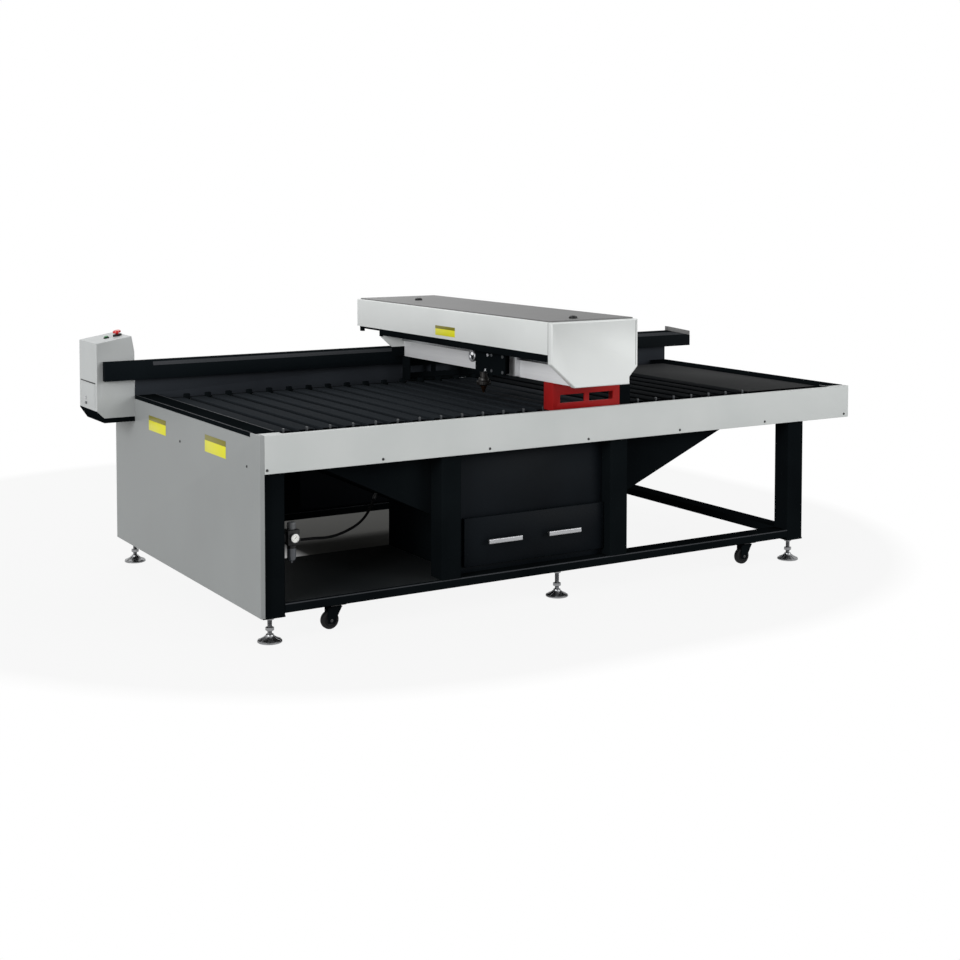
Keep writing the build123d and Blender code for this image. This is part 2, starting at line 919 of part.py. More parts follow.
def air_regulator():
    across, depth, height = regulator_box()
    column, row = regulator_middle()
    body = fillet(block(across, depth, height).edges().filter_by(Axis.Z), tube_corner)
    arm_depth = inside(depth, regulator_depth * arm_share)
    body += block((inner_left, across[0]), arm_depth, inside(height, regulator_height * arm_share))
    face = depth[0]
    gauge = rod((column, face, sum(height) / 2), (column, face - gauge_depth, sum(height) / 2), gauge_radius)
    return [body, gauge]


def regulator_knob():
    column, row = regulator_middle()
    top = regulator_base + regulator_height + running_gap
    knob = rod((column, row, top), (column, row, top + knob_height), knob_radius)
    return fillet(knob.edges().group_by(Axis.Z)[-1], knob_round)


def regulator_bowl():
    column, row = regulator_middle()
    bowl = rod((column, row, regulator_base - bowl_height), (column, row, regulator_base), bowl_radius)
    return fillet(bowl.edges().group_by(Axis.Z)[0], bowl_round)


def hopper_slope():
    return atan2(hopper_top - hopper_base, hopper_base_left - hopper_left)


def hose_ends():
    across, depth, height = regulator_box()
    spout = (across[1] + spout_length, sum(depth) / 2 + spout_back, height[0] + spout_rise)
    slope = hopper_slope()
    seat_rise = hopper_base + (hopper_base_left - socket_across) * tan(slope)
    seat = (socket_across, socket_back, seat_rise)
    mouth = (socket_across - socket_length * sin(slope), socket_back, seat_rise - socket_length * cos(slope))
    return spout, mouth, seat


def hose_fittings():
    spout, mouth, seat = hose_ends()
    barb = rod((spout[0] - spout_length, spout[1], spout[2]), spout, spout_radius)
    return [barb, rod(mouth, seat, spout_radius)]


def air_hose():
    spout, mouth, seat = hose_ends()
    slope = hopper_slope()
    leaving = (spout[0] + hose_first_run, spout[1], spout[2])
    arriving = (mouth[0] - hose_last_run * sin(slope), mouth[1], mouth[2] - hose_last_run * cos(slope))
    route = [Vector(*point) for point in (spout, leaving, *hose_points, arriving, mouth)]
    radii = []
    for before, point, after in zip(route, route[1:], route[2:]):
        turn = radians((point - before).get_angle(after - point))
        shorter = min((point - before).length, (after - point).length)
        radii.append(turn_share * shorter / tan(turn / 2))
    print("hose bend radii", [round(radius) for radius in radii])
    path = FilletPolyline(*route, radius=radii)
    section = Plane(origin=path @ 0, z_dir=path % 0) * Circle(hose_radius)
    hose = sweep(section, path=path)
    straight_volume = pi * hose_radius**2 * path.length
    print("hose length", round(path.length), "volume share", round(hose.volume / straight_volume, 4))
    return hose


def panel_screw_heads():
    pieces = []
    level = fascia_bottom + screw_rise
    for index in range(fascia_screws):
        along = screw_inset + (bed_length - 2 * screw_inset) * index / (fascia_screws - 1)
        pieces.append(rod((along, -screw_head, level), (along, 0, level), screw_radius))
    step = (bed_depth - 2 * panel_screw_front) / (panel_screws - 1)
    for index in range(panel_screws):
        back = panel_screw_front + step * index
        pieces.append(rod((-screw_head, back, level), (0, back, level), screw_radius))
    return pieces


def cap_outline(top):
    # the end view of the gantry housing: sloped toe under the front, stepped heel behind
    points = [
        (gantry_left, cap_left_lower),
        (gantry_left, top),
        (gantry_right, top),
        (gantry_right, heel_high),
        (gantry_right - cap_heel, heel_low),
        (gantry_right - cap_heel, cap_bottom),
        (gantry_left + cap_toe, cap_bottom),
    ]
    return points


def hollow_cap(points, outer, inner, flat=None):
    face = make_face(Polyline(*[Vector(px, inner[0], pz) for px, pz in points], close=True))
    inset = offset(face, amount=-sheet, kind=Kind.INTERSECTION)
    body = prism(points, outer)
    if flat is not None:
        top = [edge for edge in body.edges().filter_by(Axis.Y) if edge.center().Z > cover_top - running_gap]
        body = fillet(top + list(body.faces().sort_by(Axis.Y)[flat].edges()), cap_round)
    return body - extrude(inset, amount=inner[1] - inner[0], dir=(0, 1, 0))


def end_caps():
    front = hollow_cap(cap_outline(cover_top), (-cover_front, cap_depth - cover_front),
                       (sheet - cover_front, cap_depth - cover_front + cut_over), 0)
    top_only = [(gantry_left, cover_lower), (gantry_left, cover_top), (gantry_right, cover_top),
                (gantry_right, cover_lower)]
    rear = hollow_cap(top_only, (cover_back - cap_depth, cover_back),
                      (cover_back - cap_depth - cut_over, cover_back - sheet), -1)
    foot = beam_bottom + running_gap
    toe_slope = (cap_left_lower - cap_bottom) / cap_toe
    toe = gantry_left + cap_toe - (foot - cap_bottom) / toe_slope
    low_only = [
        (gantry_left, cap_left_lower),
        (gantry_left, cover_lower - running_gap),
        (beam_right, cover_lower - running_gap),
        (beam_right, foot),
        (toe, foot),
    ]
    plate = hollow_cap(low_only, (lower_back - back_plate_depth, lower_back),
                       (lower_back - back_plate_depth + sheet, lower_back + cut_over))
    return [front, rear, plate]


def gantry_cover():
    # one folded sheet: front face, top with a service hatch, back face stepped in below
    along = (cap_depth - cover_front, cover_back - cap_depth)
    foot = beam_bottom + running_gap
    outer = [
        (gantry_left, cover_lower),
        (gantry_left, cover_top),
        (gantry_right, cover_top),
        (gantry_right, heel_high),
        (gantry_right - cap_heel, heel_low),
        (gantry_right - cap_heel, foot),
        (gantry_right - cap_heel - sheet, foot),
        (gantry_right - cap_heel - sheet, heel_low + sheet),
        (gantry_right - sheet, heel_high + sheet),
        (gantry_right - sheet, cover_top - sheet),
        (gantry_left + sheet, cover_top - sheet),
        (gantry_left + sheet, cover_lower),
    ]
    cover = prism(outer, along)
    folds = [edge for edge in cover.edges().filter_by(Axis.Y) if edge.center().Z > cover_top - running_gap]
    cover = fillet(folds, cap_round)
    hatch = block(inside((gantry_left, gantry_right), hatch_margin), inside(along, hatch_margin),
                  past((cover_top, cover_top), cut_over))
    rear = block(past((gantry_left, gantry_right), cut_over), (lower_back, cover_back),
                 (foot - cut_over, cover_lower))
    return cover - hatch - rear


def gantry_lid():
    lid = block(inside((gantry_left, gantry_right), lid_margin),
                inside((-cover_front, cover_back), cap_depth), (cover_top, lid_top))
    return fillet(lid.edges().group_by(Axis.Z)[-1], lid_round)


def lid_knobs():
    pieces = []
    for back in (front_knob, back_knob):
        place = (gantry_left + gantry_right) / 2 - lid_knob_shift
        knob = rod((place, back, lid_top), (place, back, lid_top + lid_knob_height), lid_knob_radius)
        pieces.append(fillet(knob.edges().group_by(Axis.Z)[-1], lid_knob_round))
    return pieces


def cover_skirt():
    side = (gantry_left + sheet, gantry_left + sheet + skirt_wall)
    top = cover_lower + skirt_lap
    return block(side, (cap_depth - cover_front, lower_back - back_plate_depth), (top - skirt_height, top))


def gantry_beam():
    along = (sheet - cover_front, lower_back - back_plate_depth)
    across = (beam_left, beam_right)
    height = (beam_bottom, beam_top)
    hollow = block(inside(across, beam_wall), past(along, cut_over), inside(height, beam_wall))
    beam = block(across, along, height) - hollow
    web = (beam_left + beam_right) / 2
    return beam + block((web - beam_wall / 2, web + beam_wall / 2), along, height)


def gantry_brackets():
    # a welded box under each end of the beam, its outer web pierced by two windows
    across = (bracket_left, bracket_right)
    height = (block_top, beam_bottom)
    pieces = []
    for line, outer_side in ((front_guide, "-"), (back_guide, "+")):
        depth = (line - bracket_depth / 2, line + bracket_depth / 2)
        bracket = block(across, depth, height)
        inner = (depth[0] + bracket_wall, depth[1] + cut_over)
        face = (depth[0] - cut_over, depth[0] + bracket_wall + cut_over)
        if outer_side == "+":
            inner = (depth[0] - cut_over, depth[1] - bracket_wall)
            face = (depth[1] - bracket_wall - cut_over, depth[1] + cut_over)
        bracket -= block(inside(across, bracket_wall), inner, inside(height, bracket_wall))
        for window in ((bracket_left + window_inset, bracket_left + window_inset + window_length),
                       (bracket_right - window_inset - window_length, bracket_right - window_inset)):
            bracket -= block(window, face, (window_low, window_high))
        pieces.append(bracket)
    return pieces


def x_blocks():
    pieces = []
    for line in guides:
        for middle in (bracket_left + block_inset, bracket_right - block_inset):
            along = (middle - block_length / 2, middle + block_length / 2)
            body = block(along, (line - block_width / 2, line + block_width / 2), (block_bottom, block_top))
            groove = block(past(along, cut_over),
                           past((line - guide_width / 2, line + guide_width / 2), running_gap),
                           (block_bottom - cut_over, upper_top + guide_height + running_gap))
            pieces.append(body - groove)
    return pieces


def x_drive_units():
    # sealed gear motors: each stands on its bracket's end, just over the belt
    pieces = []
    for line in guides:
        depth = (line - bracket_depth / 2, line + bracket_depth / 2)
        unit = block((bracket_right, bracket_right + drive_length), depth, (drive_bottom, drive_top))
        pieces.append(fillet(unit.edges().filter_by(Axis.Z), tube_corner))
    return pieces


def y_rail():
    level = (head_guide_rise - head_guide_width / 2, head_guide_rise + head_guide_width / 2)
    return block((beam_left - head_guide_width, beam_left),
                 (cap_depth - cover_front, lower_back - back_plate_depth), level)


def laser_tube():
    back = tube_front + tube_length
    tube = rod((tube_across, tube_front, tube_rise), (tube_across, back, tube_rise), tube_radius)
    for start, end in ((tube_front, tube_front - cap_length), (back, back + cap_length)):
        tube += rod((tube_across, start, tube_rise), (tube_across, end, tube_rise), cap_radius)
    return tube


def tube_clamps():
    pieces = []
    for middle in (tube_front + clamp_inset, tube_front + tube_length - clamp_inset):
        depth = (middle - clamp_wall / 2, middle + clamp_wall / 2)
        side = min(clamp_width / 2, beam_right - tube_across)
        body = block((tube_across - side, tube_across + side), depth,
                     (beam_top, tube_rise + tube_radius + clamp_head))
        bore = rod((tube_across, depth[0] - cut_over, tube_rise), (tube_across, depth[1] + cut_over, tube_rise),
                   tube_radius + running_gap)
        pieces.append(body - bore)
    return pieces


def carriage_face():
    # the carriage's outer face, in front of the guide block on the beam's rail
    return beam_left - head_guide_width - running_gap - slide_plate


def head_carriage():
    along = (head_middle - slide_length / 2, head_middle + slide_length / 2)
    face = carriage_face()
    plate = block((face, beam_left - running_gap), along, (slide_bottom, head_top - sheet))
    groove = block((beam_left - head_guide_width - running_gap, beam_left + cut_over), past(along, cut_over),
                   past((head_guide_rise - head_guide_width / 2, head_guide_rise + head_guide_width / 2),
                        running_gap))
    return plate - groove


def head_block():
    face = carriage_face()
    body = block((face - head_width, face), (head_middle - head_length / 2, head_middle + head_length / 2),
                 (head_bottom, head_top))
    body = fillet(body.edges().filter_by(Axis.Z), head_round)
    return body - lens_bore()


def lens_place():
    return lens_across, head_middle + lens_back


def lens_bore():
    column, row = lens_place()
    return rod((column, row, head_bottom - cut_over), (column, row, head_top + cut_over),
               lens_radius + running_gap)


def head_mirror():
    # a round mirror mount facing along X, its side cut flat where it sits on the head
    back = head_middle + head_length / 2
    middle = back + mirror_seat
    end = mirror_across + mirror_length
    mount = rod((mirror_across, middle, mirror_rise), (end, middle, mirror_rise), mirror_radius)
    mount = fillet(mount.edges().group_by(Axis.X)[0], sheet)
    return mount - block(past((mirror_across, end), cut_over), (middle - mirror_radius - cut_over, back),
                         past((mirror_rise - mirror_radius, mirror_rise + mirror_radius), cut_over))


def lens_tube():
    column, row = lens_place()
    cone_top = nozzle_tip + nozzle_length
    tube = rod((column, row, cone_top), (column, row, lens_top), lens_radius)
    tube += rod((column, row, cone_top), (column, row, cone_top + lens_collar), lens_collar_radius)
    cone = Cone(nozzle_radius, lens_radius, nozzle_length, align=(Align.CENTER, Align.CENTER, Align.MIN))
    return tube + Pos(column, row, nozzle_tip) * cone


nodes = {
    "posts": posts(),
    "upper_frame": upper_frame(),
    "lower_frame": lower_frame(),
    "left_end_panel": left_end_panel(),
    "front_fascia": front_fascia(),
    "side_fascias": side_fascias(),
    "edge_strips": edge_strips(),
    "back_wall": back_wall(),
    "cable_duct": cable_duct(),
    "duct_end_lid": duct_end_lid(),
    "slats": slats(),
    "slat_supports": slat_supports(),
    "x_rails": x_rails(),
    "x_belts": x_belts(),
    "hopper": hopper(),
    "bay_floor": bay_floor(),
    "cabinet_box": cabinet_box(),
    "cabinet_panels": cabinet_panels(),
    "drawer_runners": drawer_runners(),
    "drawer_tray": drawer_tray(),
    "drawer_front": drawer_front(),
    "drawer_handles": drawer_handles(),
    "foot_pads": foot_pads(),
    "foot_stems": foot_stems(),
    "castor_plates": castor_plates(),
    "control_box": control_box(),
    "control_box_base": control_box_base(),
    "switch_collars": switch_collars(),
    "estop_button": estop_button(),
    "start_button": start_button(),
    "air_regulator": air_regulator(),
    "regulator_knob": regulator_knob(),
    "regulator_bowl": regulator_bowl(),
    "hose_fittings": hose_fittings(),
    "air_hose": air_hose(),
    "panel_screws": panel_screw_heads(),
    "gantry_beam": gantry_beam(),
    "gantry_cover": gantry_cover(),
    "gantry_lid": gantry_lid(),
    "lid_knobs": lid_knobs(),
    "end_caps": end_caps(),
    "cover_skirt": cover_skirt(),
    "gantry_brackets": gantry_brackets(),
    "x_blocks": x_blocks(),
    "x_drive_units": x_drive_units(),
    "y_rail": y_rail(),
    "laser_tube": laser_tube(),
    "tube_clamps": tube_clamps(),
    "head_carriage": head_carriage(),
    "head_block": head_block(),
    "head_mirror": head_mirror(),
    "lens_tube": lens_tube(),
}
for name, column, row in castor_places():
    nodes["castor_fork_" + name] = castor_fork(column, row)
    nodes["castor_wheel_" + name] = castor_wheel(column, row)

# The origin lies on the floor under the middle of the machine's outermost faces
middle_x = (bed_length + duct_overhang - box_reach) / 2
middle_y = (bed_depth - cover_front) / 2
to_origin = Pos(-middle_x, -middle_y, 0)

for name, shape in nodes.items():
    pieces = shape if isinstance(shape, list) else [shape]
    solids = [solid for piece in pieces for solid in (to_origin * piece).solids()]
    result = solids[0] if len(solids) == 1 else Compound(solids)
    export_step(result, os.path.join("parts", name + ".step"))

print(len(nodes), "nodes, origin offset", middle_x, middle_y)
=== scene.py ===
import json
import math

import bpy
from mathutils import Matrix, Vector


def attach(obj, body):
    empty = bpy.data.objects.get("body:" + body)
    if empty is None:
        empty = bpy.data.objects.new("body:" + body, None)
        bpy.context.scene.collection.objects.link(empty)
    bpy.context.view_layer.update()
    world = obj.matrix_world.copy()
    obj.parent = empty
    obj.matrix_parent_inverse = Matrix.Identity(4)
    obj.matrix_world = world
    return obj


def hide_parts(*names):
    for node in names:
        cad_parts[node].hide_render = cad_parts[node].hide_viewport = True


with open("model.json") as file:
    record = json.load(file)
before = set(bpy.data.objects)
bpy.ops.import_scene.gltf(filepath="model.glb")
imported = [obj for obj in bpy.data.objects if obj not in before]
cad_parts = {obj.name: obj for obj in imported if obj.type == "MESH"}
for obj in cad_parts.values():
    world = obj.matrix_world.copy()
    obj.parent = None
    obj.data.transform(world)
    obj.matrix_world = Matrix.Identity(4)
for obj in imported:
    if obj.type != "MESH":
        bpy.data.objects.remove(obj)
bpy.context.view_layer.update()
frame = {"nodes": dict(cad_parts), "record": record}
nodes = frame["nodes"]
bodyOf = {node: body for body, names in frame["record"]["behaviour"]["bodies"].items() for node in names}
print("stage: frame loaded")

# drawing millimetres run from the left end panel, the fascia and the floor
drawing = {"middleX": 1637.0, "middleY": 837.5}


def spot(x, y, z):
    return Vector(((x - drawing["middleX"]) / 1000, (y - drawing["middleY"]) / 1000, z / 1000))


# Camera, at the photograph's height and angle
view = {
    "place": (-2550.6, -5844.2, 1864.4), "turn": -30.95, "tip": 3.0,
    "lens": 58.405, "sensor": 36, "shift": (0.0210, -0.2118), "clipEnd": 200,
}
bpy.ops.object.camera_add(location=spot(*view["place"]),
                          rotation=(math.radians(90 - view["tip"]), 0, math.radians(view["turn"])))
camera = bpy.context.object
camera.data.lens = view["lens"]
camera.data.sensor_width = view["sensor"]
camera.data.shift_x, camera.data.shift_y = view["shift"]
camera.data.clip_end = view["clipEnd"]
bpy.context.scene.camera = camera
bpy.context.scene.view_settings.view_transform = "Standard"


# Colours are written as sRGB hex and used as linear
def hexColour(text):
    parts = [int(text[i:i + 2], 16) / 255 for i in (1, 3, 5)]
    linear = [p / 12.92 if p <= 0.04045 else ((p + 0.055) / 1.055) ** 2.4 for p in parts]
    return (*linear, 1.0)


def addNode(tree, kind, settings=None, links=None):
    node = tree.nodes.new(kind)
    for name, value in (settings or {}).items():
        if isinstance(name, str) and hasattr(node, name):
            setattr(node, name, value)
        else:
            node.inputs[name].default_value = value
    for name, source in (links or {}).items():
        tree.links.new(source, node.inputs[name])
    return node


def newMaterial(name):
    material = bpy.data.materials.new(name)
    material.use_nodes = True
    tree = material.node_tree
    tree.nodes.clear()
    output = addNode(tree, "ShaderNodeOutputMaterial")
    place = addNode(tree, "ShaderNodeTexCoord")
    return material, tree, output, place


# settings of a colour mix between two tones, and of a roughness that strays a little to both sides
def twoTones(dark, pale):
    return {"data_type": "RGBA", 6: hexColour(dark), 7: hexColour(pale)}


def roughSpan(look):
    below, above = look["stray"]
    return {"To Min": look["rough"] - below, "To Max": look["rough"] + above}


midNoise = {"From Min": 0.3, "From Max": 0.7}  # where a noise has most of its values


# Powder coat: polyester sprayed and baked on sheet steel. It gives an even satin film with faint clouds and
# orange peel, drawn coarser than real so that it shows, and a little dust on faces that look up
def powderCoat(name, look):
    material, tree, output, place = newMaterial(name)
    where = place.outputs["Object"]
    cloud = addNode(tree, "ShaderNodeTexNoise", {"Scale": 1000 / look["cloudMm"], "Detail": 3.0},
                    {"Vector": where})
    peel = addNode(tree, "ShaderNodeTexNoise", {"Scale": 1000 / look["peelMm"], "Detail": 2.0},
                   {"Vector": where})
    ramp = addNode(tree, "ShaderNodeMapRange", midNoise, {"Value": cloud.outputs["Fac"]})
    paint = addNode(tree, "ShaderNodeMix", twoTones(look["dark"], look["pale"]),
                    {"Factor": ramp.outputs["Result"]})
    upward = addNode(tree, "ShaderNodeSeparateXYZ", {}, {"Vector": place.outputs["Normal"]})
    settled = addNode(tree, "ShaderNodeMapRange", {"From Min": look["dustFrom"], "To Max": look["dust"]},
                      {"Value": upward.outputs["Z"]})
    patchy = addNode(tree, "ShaderNodeMath", {"operation": "MULTIPLY"},
                     {0: settled.outputs["Result"], 1: cloud.outputs["Fac"]})
    dusty = addNode(tree, "ShaderNodeMix", {"data_type": "RGBA", 7: hexColour(look["dustColour"])},
                    {"Factor": patchy.outputs["Value"], 6: paint.outputs[2]})
    satin = addNode(tree, "ShaderNodeMapRange", {**midNoise, **roughSpan(look)},
                    {"Value": cloud.outputs["Fac"]})
    ripple = addNode(tree, "ShaderNodeBump", {"Strength": look["bump"], "Distance": look["deepMm"] / 1000},
                     {"Height": peel.outputs["Fac"]})
    shader = addNode(tree, "ShaderNodeBsdfPrincipled", {"Specular IOR Level": look["gloss"]},
                     {"Base Color": dusty.outputs[2], "Roughness": satin.outputs["Result"],
                      "Normal": ripple.outputs["Normal"]})
    tree.links.new(shader.outputs["BSDF"], output.inputs["Surface"])
    return material


# Bare metal: milled, turned, ground or brushed, so its sheen is drawn out along one direction by fine marks,
# which are coarser than real so that they show
def bareMetal(name, look):
    material, tree, output, place = newMaterial(name)
    stretch = addNode(tree, "ShaderNodeMapping", {"Scale": tuple(1000 / mm for mm in look["markMm"])},
                      {"Vector": place.outputs["Object"]})
    marks = addNode(tree, "ShaderNodeTexNoise", {"Scale": 1.0, "Detail": 4.0},
                    {"Vector": stretch.outputs["Vector"]})
    tone = addNode(tree, "ShaderNodeMix", twoTones(look["dark"], look["pale"]),
                   {"Factor": marks.outputs["Fac"]})
    sheen = addNode(tree, "ShaderNodeMapRange", {**midNoise, **roughSpan(look)},
                    {"Value": marks.outputs["Fac"]})
    scratch = addNode(tree, "ShaderNodeBump", {"Strength": look["bump"], "Distance": look["deepMm"] / 1000},
                      {"Height": marks.outputs["Fac"]})
    shader = addNode(tree, "ShaderNodeBsdfPrincipled",
                     {"Metallic": look["metal"], "Specular IOR Level": look["gloss"]},
                     {"Base Color": tone.outputs[2], "Roughness": sheen.outputs["Result"],
                      "Normal": scratch.outputs["Normal"]})
    tree.links.new(shader.outputs["BSDF"], output.inputs["Surface"])
    return material


# Moulded plastic and rubber: one even colour through the thickness, with a fine grain from the mould that is
# drawn coarser than real so that it shows
def moulded(name, look):
    material, tree, output, place = newMaterial(name)
    grain = addNode(tree, "ShaderNodeTexNoise", {"Scale": 1000 / look["grainMm"], "Detail": 2.0},
                    {"Vector": place.outputs["Object"]})
    tone = addNode(tree, "ShaderNodeMix", twoTones(look["dark"], look["pale"]),
                   {"Factor": grain.outputs["Fac"]})
    rough = addNode(tree, "ShaderNodeMapRange", roughSpan(look), {"Value": grain.outputs["Fac"]})
    skin = addNode(tree, "ShaderNodeBump", {"Strength": look["bump"], "Distance": look["deepMm"] / 1000},
                   {"Height": grain.outputs["Fac"]})
    shader = addNode(tree, "ShaderNodeBsdfPrincipled", {"Specular IOR Level": look["gloss"]},
                     {"Base Color": tone.outputs[2], "Roughness": rough.outputs["Result"],
                      "Normal": skin.outputs["Normal"]})
    tree.links.new(shader.outputs["BSDF"], output.inputs["Surface"])
    return material


# Glass: a drawn tube, clear with a clean gloss and slow waves along its wall
def clearGlass(name, look):
    material, tree, output, place = newMaterial(name)
    waves = addNode(tree, "ShaderNodeTexNoise", {"Scale": 1000 / look["waveMm"]},
                    {"Vector": place.outputs["Object"]})
    soft = addNode(tree, "ShaderNodeBump", {"Strength": look["bump"], "Distance": look["deepMm"] / 1000},
                   {"Height": waves.outputs["Fac"]})
    shader = addNode(tree, "ShaderNodeBsdfPrincipled",
                     {"Base Color": hexColour(look["tint"]), "Roughness": look["rough"], "IOR": look["ior"],
                      "Transmission Weight": look["clear"]},
                     {"Normal": soft.outputs["Normal"]})
    tree.links.new(shader.outputs["BSDF"], output.inputs["Surface"])
    return material


# Looks: Mm are pattern sizes and depths, stray is how far the roughness goes down and up
paintCommon = {
    "cloudMm": 400, "peelMm": 4, "deepMm": 0.4, "bump": 0.12, "stray": (0.06, 0.06),
    "dust": 0.0, "dustFrom": 0.5, "dustColour": "#8a8984",
}
paintLooks = {
    # pale greys: clean panels, and darker copies of them that are painted shade
    "fasciaPowderCoat": {"dark": "#bbbfbe", "pale": "#c4c7c6", "rough": 0.5, "gloss": 0.3},
    # the end panel: the pale grey made darker, painted shade on the machine's left side
    "shadedEndPanelPowderCoat": {"dark": "#858888", "pale": "#8e9191", "rough": 0.5, "gloss": 0.3},
    "boxPowderCoat": {"dark": "#b2b5b5", "pale": "#bbbebe", "rough": 0.5, "gloss": 0.3},
    "coverPowderCoat": {"dark": "#d6d9d8", "pale": "#dfe2e1", "rough": 0.45, "gloss": 0.3},
    # the lids: the pale grey made mid grey, painted shade on faces that look up
    "shadedLidPowderCoat": {"dark": "#696969", "pale": "#757575", "rough": 0.5, "gloss": 0.2},
    # blacks: dull enough to lose their edges in the shade
    "blackPowderCoat": {"dark": "#0a0d0f", "pale": "#101416", "rough": 0.6, "gloss": 0.0},
    "ductPowderCoat": {"dark": "#080c0f", "pale": "#0e1316", "rough": 0.5, "gloss": 0.02},
    "frontPowderCoat": {"dark": "#0a0d10", "pale": "#111519", "rough": 0.45, "gloss": 0.03},
    # greyer blacks: a painted highlight on folds and edges, and a dusty film on sheets that lie open
    # painted highlight: a grey that stands in for the light caught on black folds and edges
    "highlightPowderCoat": {"dark": "#323437", "pale": "#3c3e41", "rough": 0.5, "gloss": 0.05},
    "wallPowderCoat": {"dark": "#272a2f", "pale": "#31353a", "rough": 0.6, "gloss": 0.02, "dust": 0.05},
    "floorPowderCoat": {"dark": "#1b1e20", "pale": "#252829", "rough": 0.6, "gloss": 0.02, "dust": 0.04},
    "platePowderCoat": {"dark": "#262728", "pale": "#303132", "rough": 0.6, "gloss": 0.005, "dust": 0.05},
    # red: the one strong colour, deep and even
    "redPowderCoat": {"dark": "#8a1718", "pale": "#9c201e", "rough": 0.45, "gloss": 0.06},
}
mats = {name: powderCoat(name, {**paintCommon, **look}) for name, look in paintLooks.items()}

metalCommon = {"metal": 1.0, "gloss": 0.5, "deepMm": 0.2, "stray": (0.05, 0.08)}
metalLooks = {
    # aluminium: milled pale and flat, turned in rings, brushed along the grip, or dyed near black
    "milledAluminium": {"dark": "#d9dadc", "pale": "#ebecee", "rough": 0.4, "metal": 0.15,
                        "markMm": (6, 220, 3), "bump": 0.05},
    "turnedAluminium": {"dark": "#b9babc", "pale": "#dcdde0", "rough": 0.3,
                        "markMm": (40, 40, 1.5), "bump": 0.08},
    "brushedAluminium": {"dark": "#858688", "pale": "#a2a3a5", "rough": 0.38,
                         "markMm": (160, 2, 2), "bump": 0.06},
    "anodisedAluminium": {"dark": "#0d0c0b", "pale": "#181513", "rough": 0.4, "metal": 0.3,
                          "markMm": (20, 20, 2), "bump": 0.05},
    # ground and nickelled steel catch bright streaks, and polished steel mirrors the room
    "groundSteel": {"dark": "#8b8d90", "pale": "#b4b6b8", "rough": 0.28,
                    "markMm": (200, 2, 2), "bump": 0.06},
    "nickelledSteel": {"dark": "#8f9092", "pale": "#c9cacb", "rough": 0.2,
                       "markMm": (30, 30, 1.5), "bump": 0.04},
    "dullNickelSteel": {"dark": "#6f7072", "pale": "#9a9b9c", "rough": 0.3,
                        "markMm": (30, 30, 1.5), "bump": 0.04},
    "polishedSteel": {"dark": "#d5d6d8", "pale": "#e6e7e9", "rough": 0.1,
                      "markMm": (60, 60, 60), "bump": 0.01},
    # worn and blackened steel: dull greys with only a rubbed glint
    "rubbedSteel": {"dark": "#2b2e31", "pale": "#404346", "rough": 0.5, "metal": 0.2,
                    "markMm": (8, 8, 40), "bump": 0.08},
    "wornSteel": {"dark": "#3c3f42", "pale": "#54575a", "rough": 0.5, "metal": 0.3,
                  "markMm": (8, 8, 40), "bump": 0.08},
    "blackenedSteel": {"dark": "#0c0d0e", "pale": "#151618", "rough": 0.45, "metal": 0.2,
                       "markMm": (20, 20, 20), "bump": 0.08},
    # scaled strips: soot dark with long streaks and hardly any gloss
    # the blacker strips right of the gantry: a painted shadow of the gantry
    "shadowedOxideSteel": {"dark": "#08090b", "pale": "#111416", "rough": 0.65, "metal": 0.0, "gloss": 0.003,
                        "markMm": (18, 900, 30), "bump": 0.1},
    "slatOxideSteel": {"dark": "#16191c", "pale": "#2a2e32", "rough": 0.6, "metal": 0.0, "gloss": 0.003,
                       "markMm": (18, 900, 30), "bump": 0.1},
    # copper alloy: a warm brown glint at the nozzle
    "copperAlloy": {"dark": "#46301f", "pale": "#63462c", "rough": 0.35,
                    "markMm": (20, 20, 1), "bump": 0.05},
}
mats.update({name: bareMetal(name, {**metalCommon, **look}) for name, look in metalLooks.items()})

mouldedCommon = {"grainMm": 1.5, "deepMm": 0.3, "bump": 0.06, "stray": (0.05, 0.05)}
mouldedLooks = {
    # nylon and rubber: dull blacks and a middle grey
    "blackNylon": {"dark": "#0b0c0d", "pale": "#131415", "rough": 0.45, "gloss": 0.2},
    "greyNylon": {"dark": "#56585a", "pale": "#626466", "rough": 0.45, "gloss": 0.3},
    "tyreRubber": {"dark": "#0d0d0e", "pale": "#151516", "rough": 0.65, "gloss": 0.15},
    "hoseRubber": {"dark": "#050506", "pale": "#0a0a0b", "rough": 0.6, "gloss": 0.03},
    # button plastic: glossy strong colours
    "redAbs": {"dark": "#b3120f", "pale": "#c81a15", "rough": 0.28, "gloss": 0.5},
    "greenAbs": {"dark": "#1b6b33", "pale": "#24803f", "rough": 0.3, "gloss": 0.5},
    # enamel and film: flat clear colours
    "whiteEnamel": {"dark": "#e4e4e0", "pale": "#eeeeea", "rough": 0.35, "gloss": 0.4},
    "yellowFilm": {"dark": "#d2cd1c", "pale": "#dfdb2a", "rough": 0.4, "gloss": 0.3},
    "oliveFilm": {"dark": "#6f6a14", "pale": "#7d781c", "rough": 0.4, "gloss": 0.3},
    # bowl plastic: smoky grey with a sharp gloss
    "smokedPolycarbonate": {"dark": "#3a3d42", "pale": "#4a4e54", "rough": 0.15, "gloss": 0.5},
}
mats.update({name: moulded(name, {**mouldedCommon, **look}) for name, look in mouldedLooks.items()})

glassLook = {
    "waveMm": 60, "deepMm": 0.5, "bump": 0.05, "tint": "#eef4f2", "rough": 0.05, "clear": 0.9, "ior": 1.47,
}
mats["borosilicateGlass"] = clearGlass("borosilicateGlass", glassLook)
print("stage: materials", len(mats))

# Shaping: metres for merging, degrees for edges, shares for tests, and the facets of round pieces
shaping = {
    "mergeWithin": 0.00002, "flatAngle": 0.5, "smoothAngle": 35, "softAngle": 40, "plateAngle": 50,
    "cornerSteps": 6, "alongShare": 0.99, "wallLean": 0.1, "gripShare": 0.5,
}
facets = {"hexagon": 6, "stem": 20, "screw": 24, "sleeve": 28, "plunger": 32, "collar": 36, "wide": 40,
          "dome": 48, "fluted": 64}


